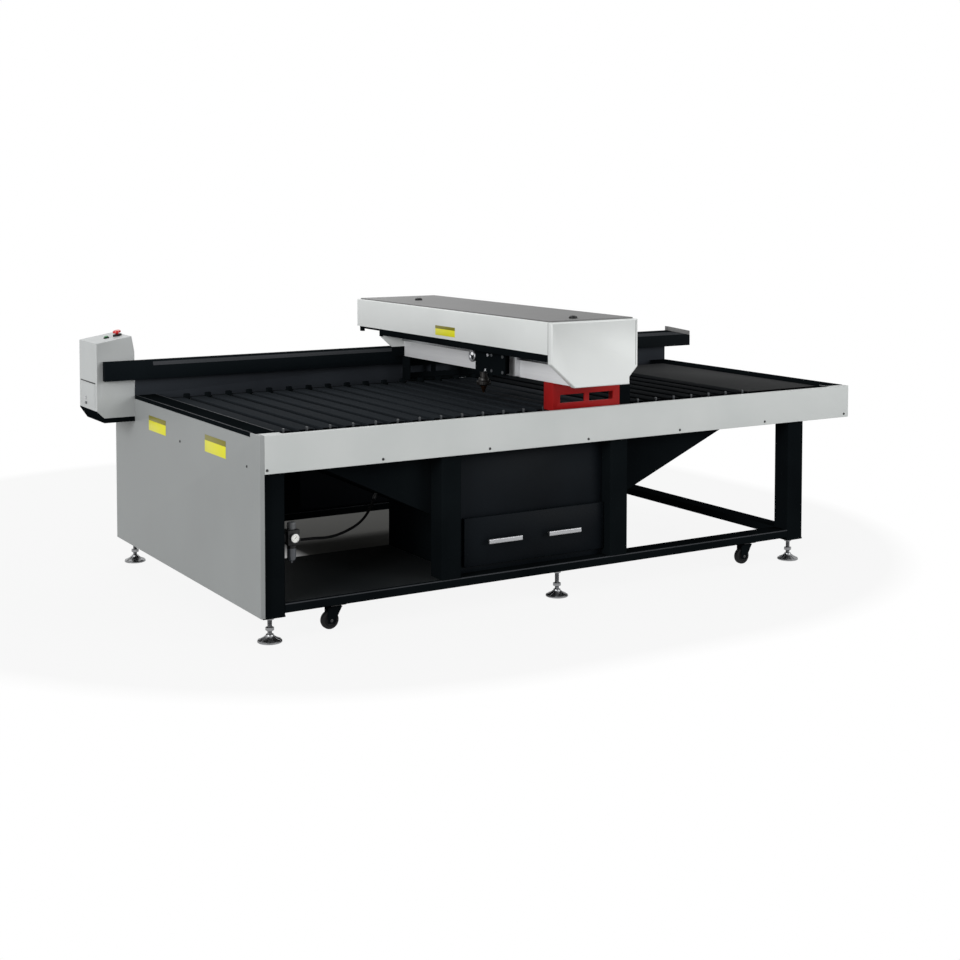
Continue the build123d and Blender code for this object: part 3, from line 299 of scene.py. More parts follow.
# Working helpers: one selection at a time, places kept in the mesh
def deselectAll():
    if bpy.context.mode != "OBJECT":
        bpy.ops.object.mode_set(mode="OBJECT")
    bpy.ops.object.select_all(action="DESELECT")


def pick(piece):
    deselectAll()
    piece.select_set(True)
    bpy.context.view_layer.objects.active = piece


def applyPlace(piece):
    pick(piece)
    bpy.ops.object.transform_apply(location=True, rotation=True, scale=True)
    return piece


def addModifier(piece, kind, settings):
    pick(piece)
    modifier = piece.modifiers.new(kind.lower(), kind)
    for name, value in settings.items():
        setattr(modifier, name, value)
    bpy.ops.object.modifier_apply(modifier=modifier.name)


def settle(piece, name, body, material, replaced=()):
    applyPlace(piece)
    piece.name = name
    piece.data.name = name
    bpy.ops.object.shade_smooth_by_angle(angle=math.radians(shaping["smoothAngle"]))
    piece.data.materials.clear()
    piece.data.materials.append(mats[material])
    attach(piece, body)
    if replaced:
        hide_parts(*replaced)
    return piece


# A round piece drawn up ring by ring from its foot: profile pairs are radius and rise in millimetres
def turnedBlank(profile, segments):
    deselectAll()
    bpy.ops.mesh.primitive_circle_add(vertices=segments, radius=profile[0][0] / 1000, fill_type="NGON",
                                      location=(0, 0, profile[0][1] / 1000))
    piece = bpy.context.object
    bpy.ops.object.transform_apply(location=True)
    bpy.ops.object.mode_set(mode="EDIT")
    bpy.ops.mesh.select_all(action="SELECT")
    for (radius, rise), (nextRadius, nextRise) in zip(profile, profile[1:]):
        bpy.ops.mesh.extrude_region_move(TRANSFORM_OT_translate={"value": (0, 0, (nextRise - rise) / 1000)})
        share = nextRadius / radius
        bpy.ops.transform.resize(value=(share, share, 1))
    bpy.ops.mesh.select_all(action="SELECT")
    bpy.ops.mesh.remove_doubles(threshold=shaping["mergeWithin"])
    bpy.ops.mesh.normals_make_consistent(inside=False)
    bpy.ops.object.mode_set(mode="OBJECT")
    return piece


def standAt(piece, foot, along=(0, 0, 1)):
    turn = Vector((0, 0, 1)).rotation_difference(Vector(along)).to_matrix().to_4x4()
    piece.matrix_world = Matrix.Translation(spot(*foot)) @ turn
    return applyPlace(piece)


def turned(profile, segments, foot, along=(0, 0, 1)):
    return standAt(turnedBlank(profile, segments), foot, along)


# Ribs and flutes: the faces that pass the test are drawn out along their normals
def raiseFaces(piece, wanted, height):
    pick(piece)
    bpy.ops.object.mode_set(mode="EDIT")
    bpy.ops.mesh.select_mode(type="FACE")
    bpy.ops.mesh.select_all(action="DESELECT")
    bpy.ops.object.mode_set(mode="OBJECT")
    for face in piece.data.polygons:
        face.select = wanted(face)
    bpy.ops.object.mode_set(mode="EDIT")
    bpy.ops.mesh.extrude_region_shrink_fatten(TRANSFORM_OT_shrink_fatten={"value": height / 1000})
    bpy.ops.mesh.select_mode(type="VERT")
    bpy.ops.object.mode_set(mode="OBJECT")
    return piece


def reachOf(face):
    return math.hypot(face.center.x, face.center.y) * 1000


def sectorOf(face, count):
    return (math.degrees(math.atan2(face.center.y, face.center.x)) % (360 / count)) * count / 360


# the outer wall's faces in every other sector
def onGrip(face, reach, count):
    onWall = abs(face.normal.z) < shaping["wallLean"] and reachOf(face) > reach
    return onWall and sectorOf(face, count) < shaping["gripShare"]


def cubeBetween(low, high):
    deselectAll()
    first, last = spot(*low), spot(*high)
    bpy.ops.mesh.primitive_cube_add(size=1, location=(first + last) / 2)
    piece = bpy.context.object
    piece.scale = last - first
    bpy.ops.object.transform_apply(location=True, rotation=True, scale=True)
    return piece


# A plate between two drawing corners with rounded corners along one axis
def roundedPlate(low, high, axis, radius, edge):
    piece = cubeBetween(low, high)
    bpy.ops.object.mode_set(mode="EDIT")
    bpy.ops.mesh.select_mode(type="EDGE")
    bpy.ops.mesh.select_all(action="DESELECT")
    bpy.ops.object.mode_set(mode="OBJECT")
    points = piece.data.vertices
    for line in piece.data.edges:
        run = points[line.vertices[1]].co - points[line.vertices[0]].co
        line.select = abs(run[axis]) > shaping["alongShare"] * run.length
    bpy.ops.object.mode_set(mode="EDIT")
    bpy.ops.mesh.bevel(offset=radius / 1000, segments=shaping["cornerSteps"], affect="EDGES")
    bpy.ops.mesh.select_mode(type="VERT")
    bpy.ops.object.mode_set(mode="OBJECT")
    addModifier(piece, "BEVEL", {"width": edge / 1000, "segments": 2, "limit_method": "ANGLE",
                                 "angle_limit": math.radians(shaping["plateAngle"])})
    return piece


# A block between two drawing corners with its edges broken
def slab(low, high, edge, segments=2):
    piece = cubeBetween(low, high)
    addModifier(piece, "BEVEL", {"width": edge / 1000, "segments": segments, "limit_method": "ANGLE"})
    return piece


# a slab swung about a drawing point
def swing(piece, centre, angle, axis):
    hub = Matrix.Translation(spot(*centre))
    piece.matrix_world = hub @ Matrix.Rotation(math.radians(angle), 4, axis) @ hub.inverted()
    return applyPlace(piece)


def copyAt(piece, shift):
    twin = piece.copy()
    twin.data = piece.data.copy()
    bpy.context.scene.collection.objects.link(twin)
    pick(twin)
    twin.location = Vector(shift) / 1000
    bpy.ops.object.transform_apply(location=True)
    return twin


def joinAll(pieces):
    deselectAll()
    for piece in pieces:
        piece.select_set(True)
    bpy.context.view_layer.objects.active = pieces[0]
    bpy.ops.object.join()
    return bpy.context.object


def slabsOf(rows):
    return joinAll([slab(*row) for row in rows])


# The same piece at a row of places, joined into one
def rowOf(piece, shifts):
    return joinAll([piece] + [copyAt(piece, shift) for shift in shifts])


# A CAD node's own shape with its edges rounded, as folded, sawn and coated metal has them
def softShape(name, edge, segments=2):
    source = nodes[name]
    deselectAll()
    piece = source.copy()
    piece.data = source.data.copy()
    piece.parent = None
    piece.matrix_world = Matrix.Identity(4)
    bpy.context.scene.collection.objects.link(piece)
    pick(piece)
    bpy.ops.object.mode_set(mode="EDIT")
    bpy.ops.mesh.select_all(action="SELECT")
    bpy.ops.mesh.remove_doubles(threshold=shaping["mergeWithin"])
    bpy.ops.mesh.dissolve_limited(angle_limit=math.radians(shaping["flatAngle"]))
    bpy.ops.object.mode_set(mode="OBJECT")
    addModifier(piece, "BEVEL", {"width": edge / 1000, "segments": segments, "limit_method": "ANGLE",
                                 "angle_limit": math.radians(shaping["softAngle"]),
                                 "use_clamp_overlap": True})
    return piece


def softened(name, material, edge):
    return settle(softShape(name, edge), name + "Soft", bodyOf[name], material, [name])


# Floor and light: the floor glows white to the camera in the open. A darker patch under and behind the left
# half is painted shade: it gives the grey that is seen through the open bay
studio = {
    "floor": "#b9b9b8", "shade": "#626260", "span": 60, "sky": 0.42,
    "shadeMiddle": (-0.24, 1.0, 0.0), "shadeHalf": (0.45, 0.45, 0.1),
    "nearShade": {"From Min": 0.05, "From Max": 0.45, "To Max": 0.9},
    "farShade": {"From Min": 0.6, "From Max": 2.4},
}
white = (1, 1, 1, 1)
larger = {"operation": "MAXIMUM"}


# the rays that show the backdrop itself, straight, in metal or through glass
def backdropRays(tree):
    rays = addNode(tree, "ShaderNodeLightPath")
    direct = addNode(tree, "ShaderNodeMath", larger,
                     {0: rays.outputs["Is Camera Ray"], 1: rays.outputs["Is Glossy Ray"]})
    return addNode(tree, "ShaderNodeMath", larger,
                   {0: direct.outputs["Value"], 1: rays.outputs["Is Transmission Ray"]})


deselectAll()
bpy.ops.mesh.primitive_plane_add(size=studio["span"], location=(0, 0, 0))
floor = bpy.context.object
floor.name = "studioFloor"
floorPaint, tree, output, place = newMaterial("paleStudioFloor")
fromMiddle = addNode(tree, "ShaderNodeVectorMath", {"operation": "SUBTRACT", 1: studio["shadeMiddle"]},
                     {0: place.outputs["Object"]})
folded = addNode(tree, "ShaderNodeVectorMath", {"operation": "ABSOLUTE"}, {0: fromMiddle.outputs["Vector"]})
beyond = addNode(tree, "ShaderNodeVectorMath", {"operation": "SUBTRACT", 1: studio["shadeHalf"]},
                 {0: folded.outputs["Vector"]})
outside = addNode(tree, "ShaderNodeVectorMath", {**larger, 1: (0, 0, 0)}, {0: beyond.outputs["Vector"]})
away = addNode(tree, "ShaderNodeVectorMath", {"operation": "LENGTH"}, {0: outside.outputs["Vector"]})
near = addNode(tree, "ShaderNodeMapRange", studio["nearShade"], {"Value": away.outputs["Value"]})
far = addNode(tree, "ShaderNodeMapRange", studio["farShade"], {"Value": away.outputs["Value"]})
share = addNode(tree, "ShaderNodeMath", larger, {0: near.outputs["Result"], 1: far.outputs["Result"]})
seen = addNode(tree, "ShaderNodeMath", {"operation": "MULTIPLY"},
               {0: backdropRays(tree).outputs["Value"], 1: share.outputs["Value"]})
# the floor's tone: the darker shade colour inside the patch is painted shade
paintedShadeTone = addNode(tree, "ShaderNodeMix", twoTones(studio["shade"], studio["floor"]),
                    {"Factor": share.outputs["Value"]})
ground = addNode(tree, "ShaderNodeBsdfDiffuse", {}, {"Color": paintedShadeTone.outputs[2]})
glow = addNode(tree, "ShaderNodeEmission", {"Color": white, "Strength": 1.0})
mixed = addNode(tree, "ShaderNodeMixShader", {},
                {0: seen.outputs["Value"], 1: ground.outputs["BSDF"], 2: glow.outputs["Emission"]})
tree.links.new(mixed.outputs["Shader"], output.inputs["Surface"])
floor.data.materials.append(floorPaint)

world = bpy.data.worlds.new("studioSky")
bpy.context.scene.world = world
world.use_nodes = True
tree = world.node_tree
tree.nodes.clear()
level = addNode(tree, "ShaderNodeMapRange", {"To Min": studio["sky"], "To Max": 1.0},
                {"Value": backdropRays(tree).outputs["Value"]})
sky = addNode(tree, "ShaderNodeBackground", {"Color": white}, {"Strength": level.outputs["Result"]})
addNode(tree, "ShaderNodeOutputWorld", {}, {"Surface": sky.outputs["Background"]})

lamps = {
    "leftSoftbox": {"place": (-16100, -6900, 6150), "aim": (1500, 700, 750), "size": 9.0, "power": 2450},
    "frontSoftbox": {"place": (7000, -8000, 3300), "aim": (1500, 700, 750), "size": 5.0, "power": 430},
    "backSoftbox": {"place": (1600, 5200, 4800), "aim": (1600, 900, 800), "size": 3.5, "power": 110},
}
for name, box in lamps.items():
    bpy.ops.object.light_add(type="AREA", location=spot(*box["place"]))
    lamp = bpy.context.object
    lamp.name = name
    lamp.data.size = box["size"]
    lamp.data.energy = box["power"]
    lamp.rotation_euler = (spot(*box["aim"]) - spot(*box["place"])).to_track_quat("-Z", "Y").to_euler()
print("stage: camera, floor and light")

# Air hose: from the regulator's spout to the socket under the hopper
airHose = {
    "points": [(215, 80, 412), (275, 80, 412), (360, 128, 395), (440, 185, 386), (515, 230, 390),
               (578, 268, 399), (632, 306, 413), (680.02, 335, 445.93), (703.77, 335, 495.54)],
    "diameter": 0.012,
    "length": 0.603,
}
hoseLine = bpy.data.curves.new("airHoseLine", "CURVE")
hoseLine.dimensions = "3D"
run = hoseLine.splines.new("NURBS")
run.points.add(len(airHose["points"]) - 1)
for point, corner in zip(run.points, airHose["points"]):
    point.co = (*spot(*corner), 1)
run.order_u = 3
run.use_endpoint_u = True
run.resolution_u = 12
hoseLine.bevel_depth = airHose["diameter"] / 2
hoseLine.bevel_resolution = 4
hoseLine.use_fill_caps = True
hosePiece = bpy.data.objects.new("airHoseTube", hoseLine)
bpy.context.scene.collection.objects.link(hosePiece)
hoseLine.materials.append(mats["hoseRubber"])
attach(hosePiece, "frame")
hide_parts("air_hose")
print("stage: air hose")

# CAD nodes that keep their own mesh
plainFinish = {
    "bay_floor": "floorPowderCoat", "slat_supports": "blackPowderCoat", "castor_plates": "blackenedSteel",
    "drawer_runners": "groundSteel", "x_rails": "groundSteel", "y_rail": "groundSteel",
    "x_blocks": "groundSteel", "x_belts": "hoseRubber", "laser_tube": "borosilicateGlass",
    "tube_clamps": "blackNylon", "drawer_handles": "brushedAluminium",
}
for name, finish in plainFinish.items():
    nodes[name].data.materials.clear()
    nodes[name].data.materials.append(mats[finish])

# Sheet, tube and plate nodes with their edges rounded, millimetres
# the end panel and the two lids take darker copies of the pale grey, which are painted shade
softFinish = {
    "posts": ("blackPowderCoat", 1.2), "upper_frame": ("blackPowderCoat", 1.0),
    "lower_frame": ("blackPowderCoat", 4.0), "left_end_panel": ("shadedEndPanelPowderCoat", 0.8),
    "front_fascia": ("fasciaPowderCoat", 0.8), "side_fascias": ("fasciaPowderCoat", 0.8),
    "edge_strips": ("blackPowderCoat", 0.8), "back_wall": ("wallPowderCoat", 0.6),
    "cable_duct": ("ductPowderCoat", 0.6), "duct_end_lid": ("shadedLidPowderCoat", 2.0),
    "slats": ("slatOxideSteel", 0.8), "hopper": ("blackPowderCoat", 0.6),
    "cabinet_box": ("blackPowderCoat", 0.6), "cabinet_panels": ("frontPowderCoat", 0.5),
    "drawer_tray": ("blackPowderCoat", 0.6), "drawer_front": ("frontPowderCoat", 2.5),
    "control_box": ("boxPowderCoat", 0.8), "control_box_base": ("blackPowderCoat", 2.0),
    "gantry_beam": ("milledAluminium", 1.0), "gantry_cover": ("coverPowderCoat", 0.8),
    "gantry_lid": ("shadedLidPowderCoat", 1.0), "end_caps": ("coverPowderCoat", 0.8),
    "cover_skirt": ("blackPowderCoat", 0.6), "x_drive_units": ("blackPowderCoat", 2.0),
    "head_carriage": ("milledAluminium", 1.5), "head_block": ("blackPowderCoat", 2.5),
}
softPieces = {name: softened(name, finish, edge) for name, (finish, edge) in softFinish.items()}


# some faces of a piece in a second finish
def secondFinish(piece, finish, wanted):
    piece.data.materials.append(mats[finish])
    for face in piece.data.polygons:
        if wanted(face):
            face.material_index = 1


# the lower rails' rounded front top edges get a greyer paint, a painted highlight line
edgeHighlight = {"lean": 0.3}
secondFinish(softPieces["lower_frame"], "highlightPowderCoat",
             lambda face: face.normal.y < -edgeHighlight["lean"] and face.normal.z > edgeHighlight["lean"])

# strips right of the gantry are painted blacker, a painted shadow of the gantry
shadowedStrips = {"from": 1880}
secondFinish(softPieces["slats"], "shadowedOxideSteel",
             lambda face: face.center.x > spot(shadowedStrips["from"], 0, 0).x)

# Welded brackets under the beam: the front one is red, the rear one black
bracket = {"edge": 1.5}
pick(softShape("gantry_brackets", bracket["edge"]))
bpy.ops.object.mode_set(mode="EDIT")
bpy.ops.mesh.select_all(action="SELECT")
bpy.ops.mesh.separate(type="LOOSE")
bpy.ops.object.mode_set(mode="OBJECT")
bracketPair = sorted(bpy.context.selected_objects, key=lambda piece: piece.data.vertices[0].co.y)
settle(bracketPair[0], "frontBracket", "gantry", "redPowderCoat", ["gantry_brackets"])
settle(bracketPair[1], "rearBracket", "gantry", "blackPowderCoat")
print("stage: rounded copies", len(softFinish) + len(bracketPair))

# Levelling feet: ribbed dome pads, threaded stems, a nut under the frame and a lock nut above the pad
feet = {
    "columns": (70, 1523, 2956), "rows": (70, 1745), "tops": (110, 125, 110),
    "dome": [(50, 0), (52.5, 1.5), (52.5, 6), (50, 8.5), (41, 12), (27, 19), (20, 25), (17, 30), (16.5, 33),
             (14, 34)],
    "ribs": 8, "ribHeight": 1.6, "ribReach": (22, 49), "ribShare": 0.33,
    "stemFoot": 34, "pitch": 2.5, "threadOuter": 10, "threadInner": 9,
    "nut": [(15.6, 0), (18.4, 1.6), (18.4, 14.4), (15.6, 16)], "nutHeight": 16, "lockNutRise": 48,
}
firstColumn, middleColumn = feet["columns"][:2]
frontRow, backRow = feet["rows"]


def onRib(face):
    inner, outer = feet["ribReach"]
    return inner < reachOf(face) < outer and sectorOf(face, feet["ribs"]) < feet["ribShare"]


# no foot stands at the rear middle
footSpots = [(column, row) for column in feet["columns"] for row in feet["rows"]
             if column != middleColumn or row == frontRow]
dome = raiseFaces(turnedBlank(feet["dome"], facets["dome"]), onRib, feet["ribHeight"])
standAt(dome, (firstColumn, frontRow, 0))
pads = rowOf(dome, [(column - firstColumn, row - frontRow, 0) for column, row in footSpots[1:]])
settle(pads, "footDomes", "frame", "dullNickelSteel", ["foot_pads"])

stems = []
for column, top in zip(feet["columns"], feet["tops"]):
    thread = [(feet["threadInner"], feet["stemFoot"])]
    for i in range(int((top - feet["stemFoot"]) / feet["pitch"])):
        thread.append((feet["threadOuter"], feet["stemFoot"] + (i + 0.5) * feet["pitch"]))
        thread.append((feet["threadInner"], feet["stemFoot"] + (i + 1) * feet["pitch"]))
    thread.append((feet["threadInner"], top))
    stem = turned(thread, facets["stem"], (column, frontRow, 0))
    upper = turned(feet["nut"], facets["hexagon"], (column, frontRow, top - feet["nutHeight"]))
    lower = turned(feet["nut"], facets["hexagon"], (column, frontRow, feet["lockNutRise"]))
    stud = joinAll([stem, upper, lower])
    back = [] if column == middleColumn else [(0, backRow - frontRow, 0)]
    stems.append(rowOf(stud, back))
settle(joinAll(stems), "footStuds", "frame", "dullNickelSteel", ["foot_stems"])
print("stage: levelling feet")

# Castors: moulded wheels with a tyre, a web and a hub, in pressed forks with nuts on the axle
castor = {
    "columns": {"left": 375, "right": 2674}, "rows": {"front": 70, "back": 1745}, "trail": 28, "axle": 55,
    "wheel": [(6.5, -13), (12, -13), (13, -12), (13, -9.5), (26, -8.5), (28, -12), (31, -13), (36, -12.5),
              (39, -10), (40, -6), (40, 6), (39, 10), (36, 12.5), (31, 13), (28, 12), (26, 8.5), (13, 9.5),
              (13, 12), (12, 13), (6.5, 13)],
    "nut": [(5.5, 0), (7.5, 1), (7.5, 5), (5.5, 6)], "legOutside": 19, "forkEdge": 0.8,
}
start = (castor["columns"]["left"] - castor["trail"], castor["rows"]["front"], castor["axle"])
firstWheel = turned(castor["wheel"], facets["wide"], start, (0, 1, 0))
firstNuts = joinAll([turned(castor["nut"], facets["hexagon"],
                            (start[0], start[1] + side * castor["legOutside"], start[2]), (0, side, 0))
                     for side in (-1, 1)])
for end, row in castor["rows"].items():
    for side, column in castor["columns"].items():
        corner = end + "_" + side
        shift = (column - castor["columns"]["left"], row - castor["rows"]["front"], 0)
        wheel, nuts = firstWheel, firstNuts
        if any(shift):
            wheel, nuts = copyAt(firstWheel, shift), copyAt(firstNuts, shift)
        settle(wheel, "castorTyre_" + corner, "wheel_" + corner, "tyreRubber",
               ["castor_wheel_" + corner])
        settle(nuts, "castorNuts_" + corner, "fork_" + corner, "blackenedSteel")
        softened("castor_fork_" + corner, "blackPowderCoat", castor["forkEdge"])
print("stage: castors")

# Panel screws: low button heads with a socket
screw = {
    "head": [(6, 0), (6, 0.9), (5.2, 1.9), (3.9, 2.5), (3.2, 2.5), (2.8, 1.0)],
    "level": 735, "first": 32, "step": 539.33, "count": 7, "sideRows": (135, 907.5, 1680),
}
frontScrew = turned(screw["head"], facets["screw"], (screw["first"], 0, screw["level"]), (0, -1, 0))
frontScrews = rowOf(frontScrew, [(i * screw["step"], 0, 0) for i in range(1, screw["count"])])
sideScrew = turned(screw["head"], facets["screw"], (0, screw["sideRows"][0], screw["level"]), (-1, 0, 0))
sideScrews = rowOf(sideScrew, [(0, row - screw["sideRows"][0], 0) for row in screw["sideRows"][1:]])
settle(joinAll([frontScrews, sideScrews]), "panelScrewHeads", "frame", "blackenedSteel",
       ["panel_screws"])

# Air regulator: block on its arm, gauge with a plain dial, fluted knob, smoked bowl in a collar. The blocks
# are two corners, an edge and its steps, and the dial's bars are inner end, outer end and width
regulator = {
    "blocks": (((144, 45, 400), (199, 95, 465), 4, 3), ((120, 58, 416), (146, 82, 449), 2)),
    "middle": (171.5, 70), "gauge": (171.5, 45, 432.5),
    "case": [(19, 0), (20, 1), (20, 13), (19, 15.4), (17.8, 16), (17.2, 14)],
    "dial": [(17, 13.8), (17, 14.2), (16.5, 14.4)],
    "barDepth": (30.1, 30.7), "barEdge": 0.1, "tick": (11, 14, 1.0), "ticks": 9, "sweep": 270,
    "needle": (-4, 11, 1.2), "needleAngle": 40,
    "knob": [(17, 0), (18.2, 1.2), (18.2, 23), (17, 28), (14, 30), (11, 30), (10.5, 29)], "knobFoot": 465.3,
    "flutes": 16, "fluteReach": 17.5, "fluteHeight": 0.8,
    "bowl": [(3.5, 322), (5.5, 322.6), (5.5, 329), (12, 331), (17, 335), (19, 341), (19.4, 350), (19.4, 386)],
    "collar": [(18.5, 384), (20, 385.5), (20, 398.5), (18.5, 400)],
}
settle(slabsOf(regulator["blocks"]), "regulatorBlock", "frame", "blackNylon",
       ["air_regulator"])
case = turned(regulator["case"], facets["wide"], regulator["gauge"], (0, -1, 0))
settle(case, "gaugeCase", "frame", "nickelledSteel")
dial = turned(regulator["dial"], facets["wide"], regulator["gauge"], (0, -1, 0))
settle(dial, "gaugeDial", "frame", "whiteEnamel")


# a small bar on the dial, swung round the gauge's centre
def dialBar(inner, outer, width, angle):
    centre = regulator["gauge"]
    front, back = regulator["barDepth"]
    low = (centre[0] - width / 2, front, centre[2] + inner)
    high = (centre[0] + width / 2, back, centre[2] + outer)
    return swing(slab(low, high, regulator["barEdge"]), centre, angle, "Y")


tickStep = regulator["sweep"] / (regulator["ticks"] - 1)
bars = [dialBar(*regulator["tick"], i * tickStep - regulator["sweep"] / 2) for i in range(regulator["ticks"])]
bars.append(dialBar(*regulator["needle"], regulator["needleAngle"]))
settle(joinAll(bars), "gaugeNeedle", "frame", "blackNylon")

knob = raiseFaces(turnedBlank(regulator["knob"], facets["fluted"]),
                  lambda face: onGrip(face, regulator["fluteReach"], regulator["flutes"]),
                  regulator["fluteHeight"])
standAt(knob, (*regulator["middle"], regulator["knobFoot"]))
settle(knob, "regulatorKnobFluted", "pressure_knob", "greyNylon",
       ["regulator_knob"])
bowl = turned(regulator["bowl"], facets["collar"], (*regulator["middle"], 0))
settle(bowl, "regulatorBowlSmoked", "frame", "smokedPolycarbonate",
       ["regulator_bowl"])
bowlCollar = turned(regulator["collar"], facets["collar"], (*regulator["middle"], 0))
settle(bowlCollar, "regulatorCollar", "frame", "blackNylon")

# Hose fittings: a hexagon foot and a ridged sleeve at each end, given as foot, direction and length
fittings = {
    "ends": (((199, 80, 412), (1, 0, 0), 16), ((715, 335, 518.99), (-0.4319, 0, -0.9019), 26)),
    "hexagon": [(7.4, 0), (8.6, 0.8), (8.6, 5.2), (7.4, 6)],
    "neck": 7, "neckEnd": 7, "ridge": 8, "ridgeStart": 8, "tip": 3,
}
sleeves = []
for foot, along, length in fittings["ends"]:
    sleeve = [(fittings["neck"], 0), (fittings["neck"], fittings["neckEnd"]),
              (fittings["ridge"], fittings["ridgeStart"]), (fittings["ridge"], length - fittings["tip"]),
              (fittings["neck"], length)]
    sleeves.append(turned(fittings["hexagon"], facets["hexagon"], foot, along))
    sleeves.append(turned(sleeve, facets["sleeve"], foot, along))
settle(joinAll(sleeves), "hoseSleeves", "frame", "blackNylon", ["hose_fittings"])
print("stage: screws and air fittings")

# Control box: lower door with its lock and latch, a seam above it, push buttons on the slope
console = {
    "tilt": 9.75, "row": 1631, "low": 1143, "reach": 192, "across": {"stop": 48, "start": 104},
    "door": ((-193.6, 1547, 828), (-192, 1764, 938), 0.7),
    "seam": ((-193, 1540, 943), (-192, 1771, 949), 0.3),
    "latch": ((-198, 1670, 833), (-193.6, 1692, 845), 1.5),
    "lock": (-193.6, 1687, 864), "lockHead": [(9, 0), (9, 2.4), (7.6, 3.6), (4, 3.8), (3.6, 2.6)],
    "stop": [(7.8, 6.3), (8, 6.6), (8, 15.3), (18, 15.3), (20, 17), (20, 21.5), (18.5, 25.8), (14, 28.5),
             (7, 29.3)],
    "stopCollar": [(21, 0), (22, 1), (22, 7.4), (20.5, 9), (9.4, 9), (8.5, 8)],
    "start": [(8.6, 3.3), (9, 3.9), (9, 9.8), (8.2, 10.8), (6, 11), (5.4, 10.5)],
    "startCollar": [(13.2, 0), (14, 0.8), (14, 5), (13, 6), (10.2, 6), (9.5, 5.4)],
}
settle(slab(*console["door"]), "boxDoor", "frame", "boxPowderCoat")
settle(slab(*console["seam"]), "boxSeam", "frame", "blackNylon")
lock = turned(console["lockHead"], facets["sleeve"], console["lock"], (-1, 0, 0))
settle(lock, "boxLock", "frame", "nickelledSteel")
settle(slab(*console["latch"]), "boxLatch", "frame", "greyNylon")
slope = math.radians(console["tilt"])
upright = (-math.sin(slope), 0, math.cos(slope))
buttonFeet = {}
for name, across in console["across"].items():
    rise = (console["reach"] - across) * math.tan(slope)
    buttonFeet[name] = (-across, console["row"], console["low"] + rise)
mushroom = turned(console["stop"], facets["wide"], buttonFeet["stop"], upright)
settle(mushroom, "stopMushroom", "estop", "redAbs", ["estop_button"])
plunger = turned(console["start"], facets["plunger"], buttonFeet["start"], upright)
settle(plunger, "startPlunger", "start", "greenAbs", ["start_button"])
collars = [turned(console[name + "Collar"], facets["collar"], foot, upright)
           for name, foot in buttonFeet.items()]
settle(joinAll(collars), "switchCollars", "frame", "blackNylon", ["switch_collars"])

# Plain plates: bare yellow film with a darker field along the top
plates = {
    "endPlateRear": ((-0.9, 1092, 735), (0, 1322, 806), "frame"),
    "endPlateFront": ((-0.9, 362, 733), (0, 601, 809), "frame"),
    "gantryPlate": ((1345.1, 701, 1166), (1346, 892, 1214), "gantry"),
}
plateFilm = {"fieldShare": 0.32, "edge": 0.25}
for name, (low, high, body) in plates.items():
    split = high[2] - plateFilm["fieldShare"] * (high[2] - low[2])
    film = slab(low, (high[0], high[1], split), plateFilm["edge"])
    settle(film, name, body, "yellowFilm")
    field = slab((low[0], low[1], split), high, plateFilm["edge"])
    settle(field, name + "Field", body, "oliveFilm")
print("stage: control box and plates")

# Duct lip: a greyer film along the sloped fold on the duct's top, a painted highlight line
lip = {"film": ((85, 1486.4, 1026.5), (3464, 1487.2, 1046), 0.2), "hinge": (0, 1487, 1026), "lean": -23.2}
lipHighlight = swing(slab(*lip["film"]), lip["hinge"], lip["lean"], "X")
settle(lipHighlight, "ductLipHighlight", "frame", "highlightPowderCoat")

# Table: upright tabs on the slats' front ends, stops behind them, hems and tongues of the edge strips, and
# the flat plate at the right end. Each block is two corners and an edge
table = {
    "pitch": 110, "count": 24,
    "tab": ((159.25, 126, 862), (168.25, 134, 882), 0.8), "stop": ((203, 1374, 850), (233, 1395, 890), 4.0),
    "hems": (((4, 100, 879.6), (10, 1516, 880.7), 0.3), ((103, 100, 879.6), (108, 1516, 880.7), 0.3)),
    "tongues": (((8, 58, 879.4), (110, 100, 880.8), 0.4), ((3190, 40, 879.4), (3296, 100, 880.8), 0.4)),
    "plate": ((2728, 121, 872), (3187, 1389, 873), 0.8),
}
slatSteps = [(i * table["pitch"], 0, 0) for i in range(1, table["count"])]
tabs = rowOf(slab(*table["tab"]), slatSteps)
settle(tabs, "slatTabs", "frame", "rubbedSteel")
stops = rowOf(slab(*table["stop"]), slatSteps[:-1])
settle(stops, "slatStops", "frame", "blackPowderCoat")
# the hems' greyer paint is a painted highlight along the edge strips' folds
settle(slabsOf(table["hems"]), "stripHems", "frame", "highlightPowderCoat")
settle(slabsOf(table["tongues"]), "stripTongues", "frame", "blackPowderCoat")
settle(slab(*table["plate"]), "tableEndPlate", "frame", "platePowderCoat")

# Dust sheets: a strip behind the rear rail and a sheet from the hopper to the right end close the table below
dust = {
    "strip": ((121, 1488, 837.5), (3179, 1520, 840.2), 0.5),
    "sheet": ((2728, 121, 774.5), (3179, 1389, 777), 0.5),
}
settle(slabsOf(dust.values()), "dustSheets", "frame", "blackPowderCoat")

# Sheet joints of the housing: the front cap's right fold and the line where the cap meets the cover
joints = {
    "capFold": ((1812, -140.5, 1085), (1814, -140, 1290), 0.2),
    "capLine": ((1345.5, -111, 1112), (1346, -109, 1296), 0.2),
}
settle(slabsOf(joints.values()), "housingJoints", "gantry", "greyNylon")

# Black trim at the housing's rear end: the hem with its stop, the low plate's edge strip and its gusset
rearTrim = {
    "hem": ((1347, 1468, 1140), (1352, 1716, 1150.5), 0.5),
    "stop": ((1347, 1688, 1124), (1362, 1716, 1150.5), 0.5),
    "strip": ((1344.8, 1463.4, 1112), (1353, 1487.6, 1150.2), 0.5),
    "gusset": ((1408, 1463, 1000.5), (1484.5, 1466.3, 1053), 0.5),
}
settle(slabsOf(rearTrim.values()), "coverHem", "gantry", "blackPowderCoat")

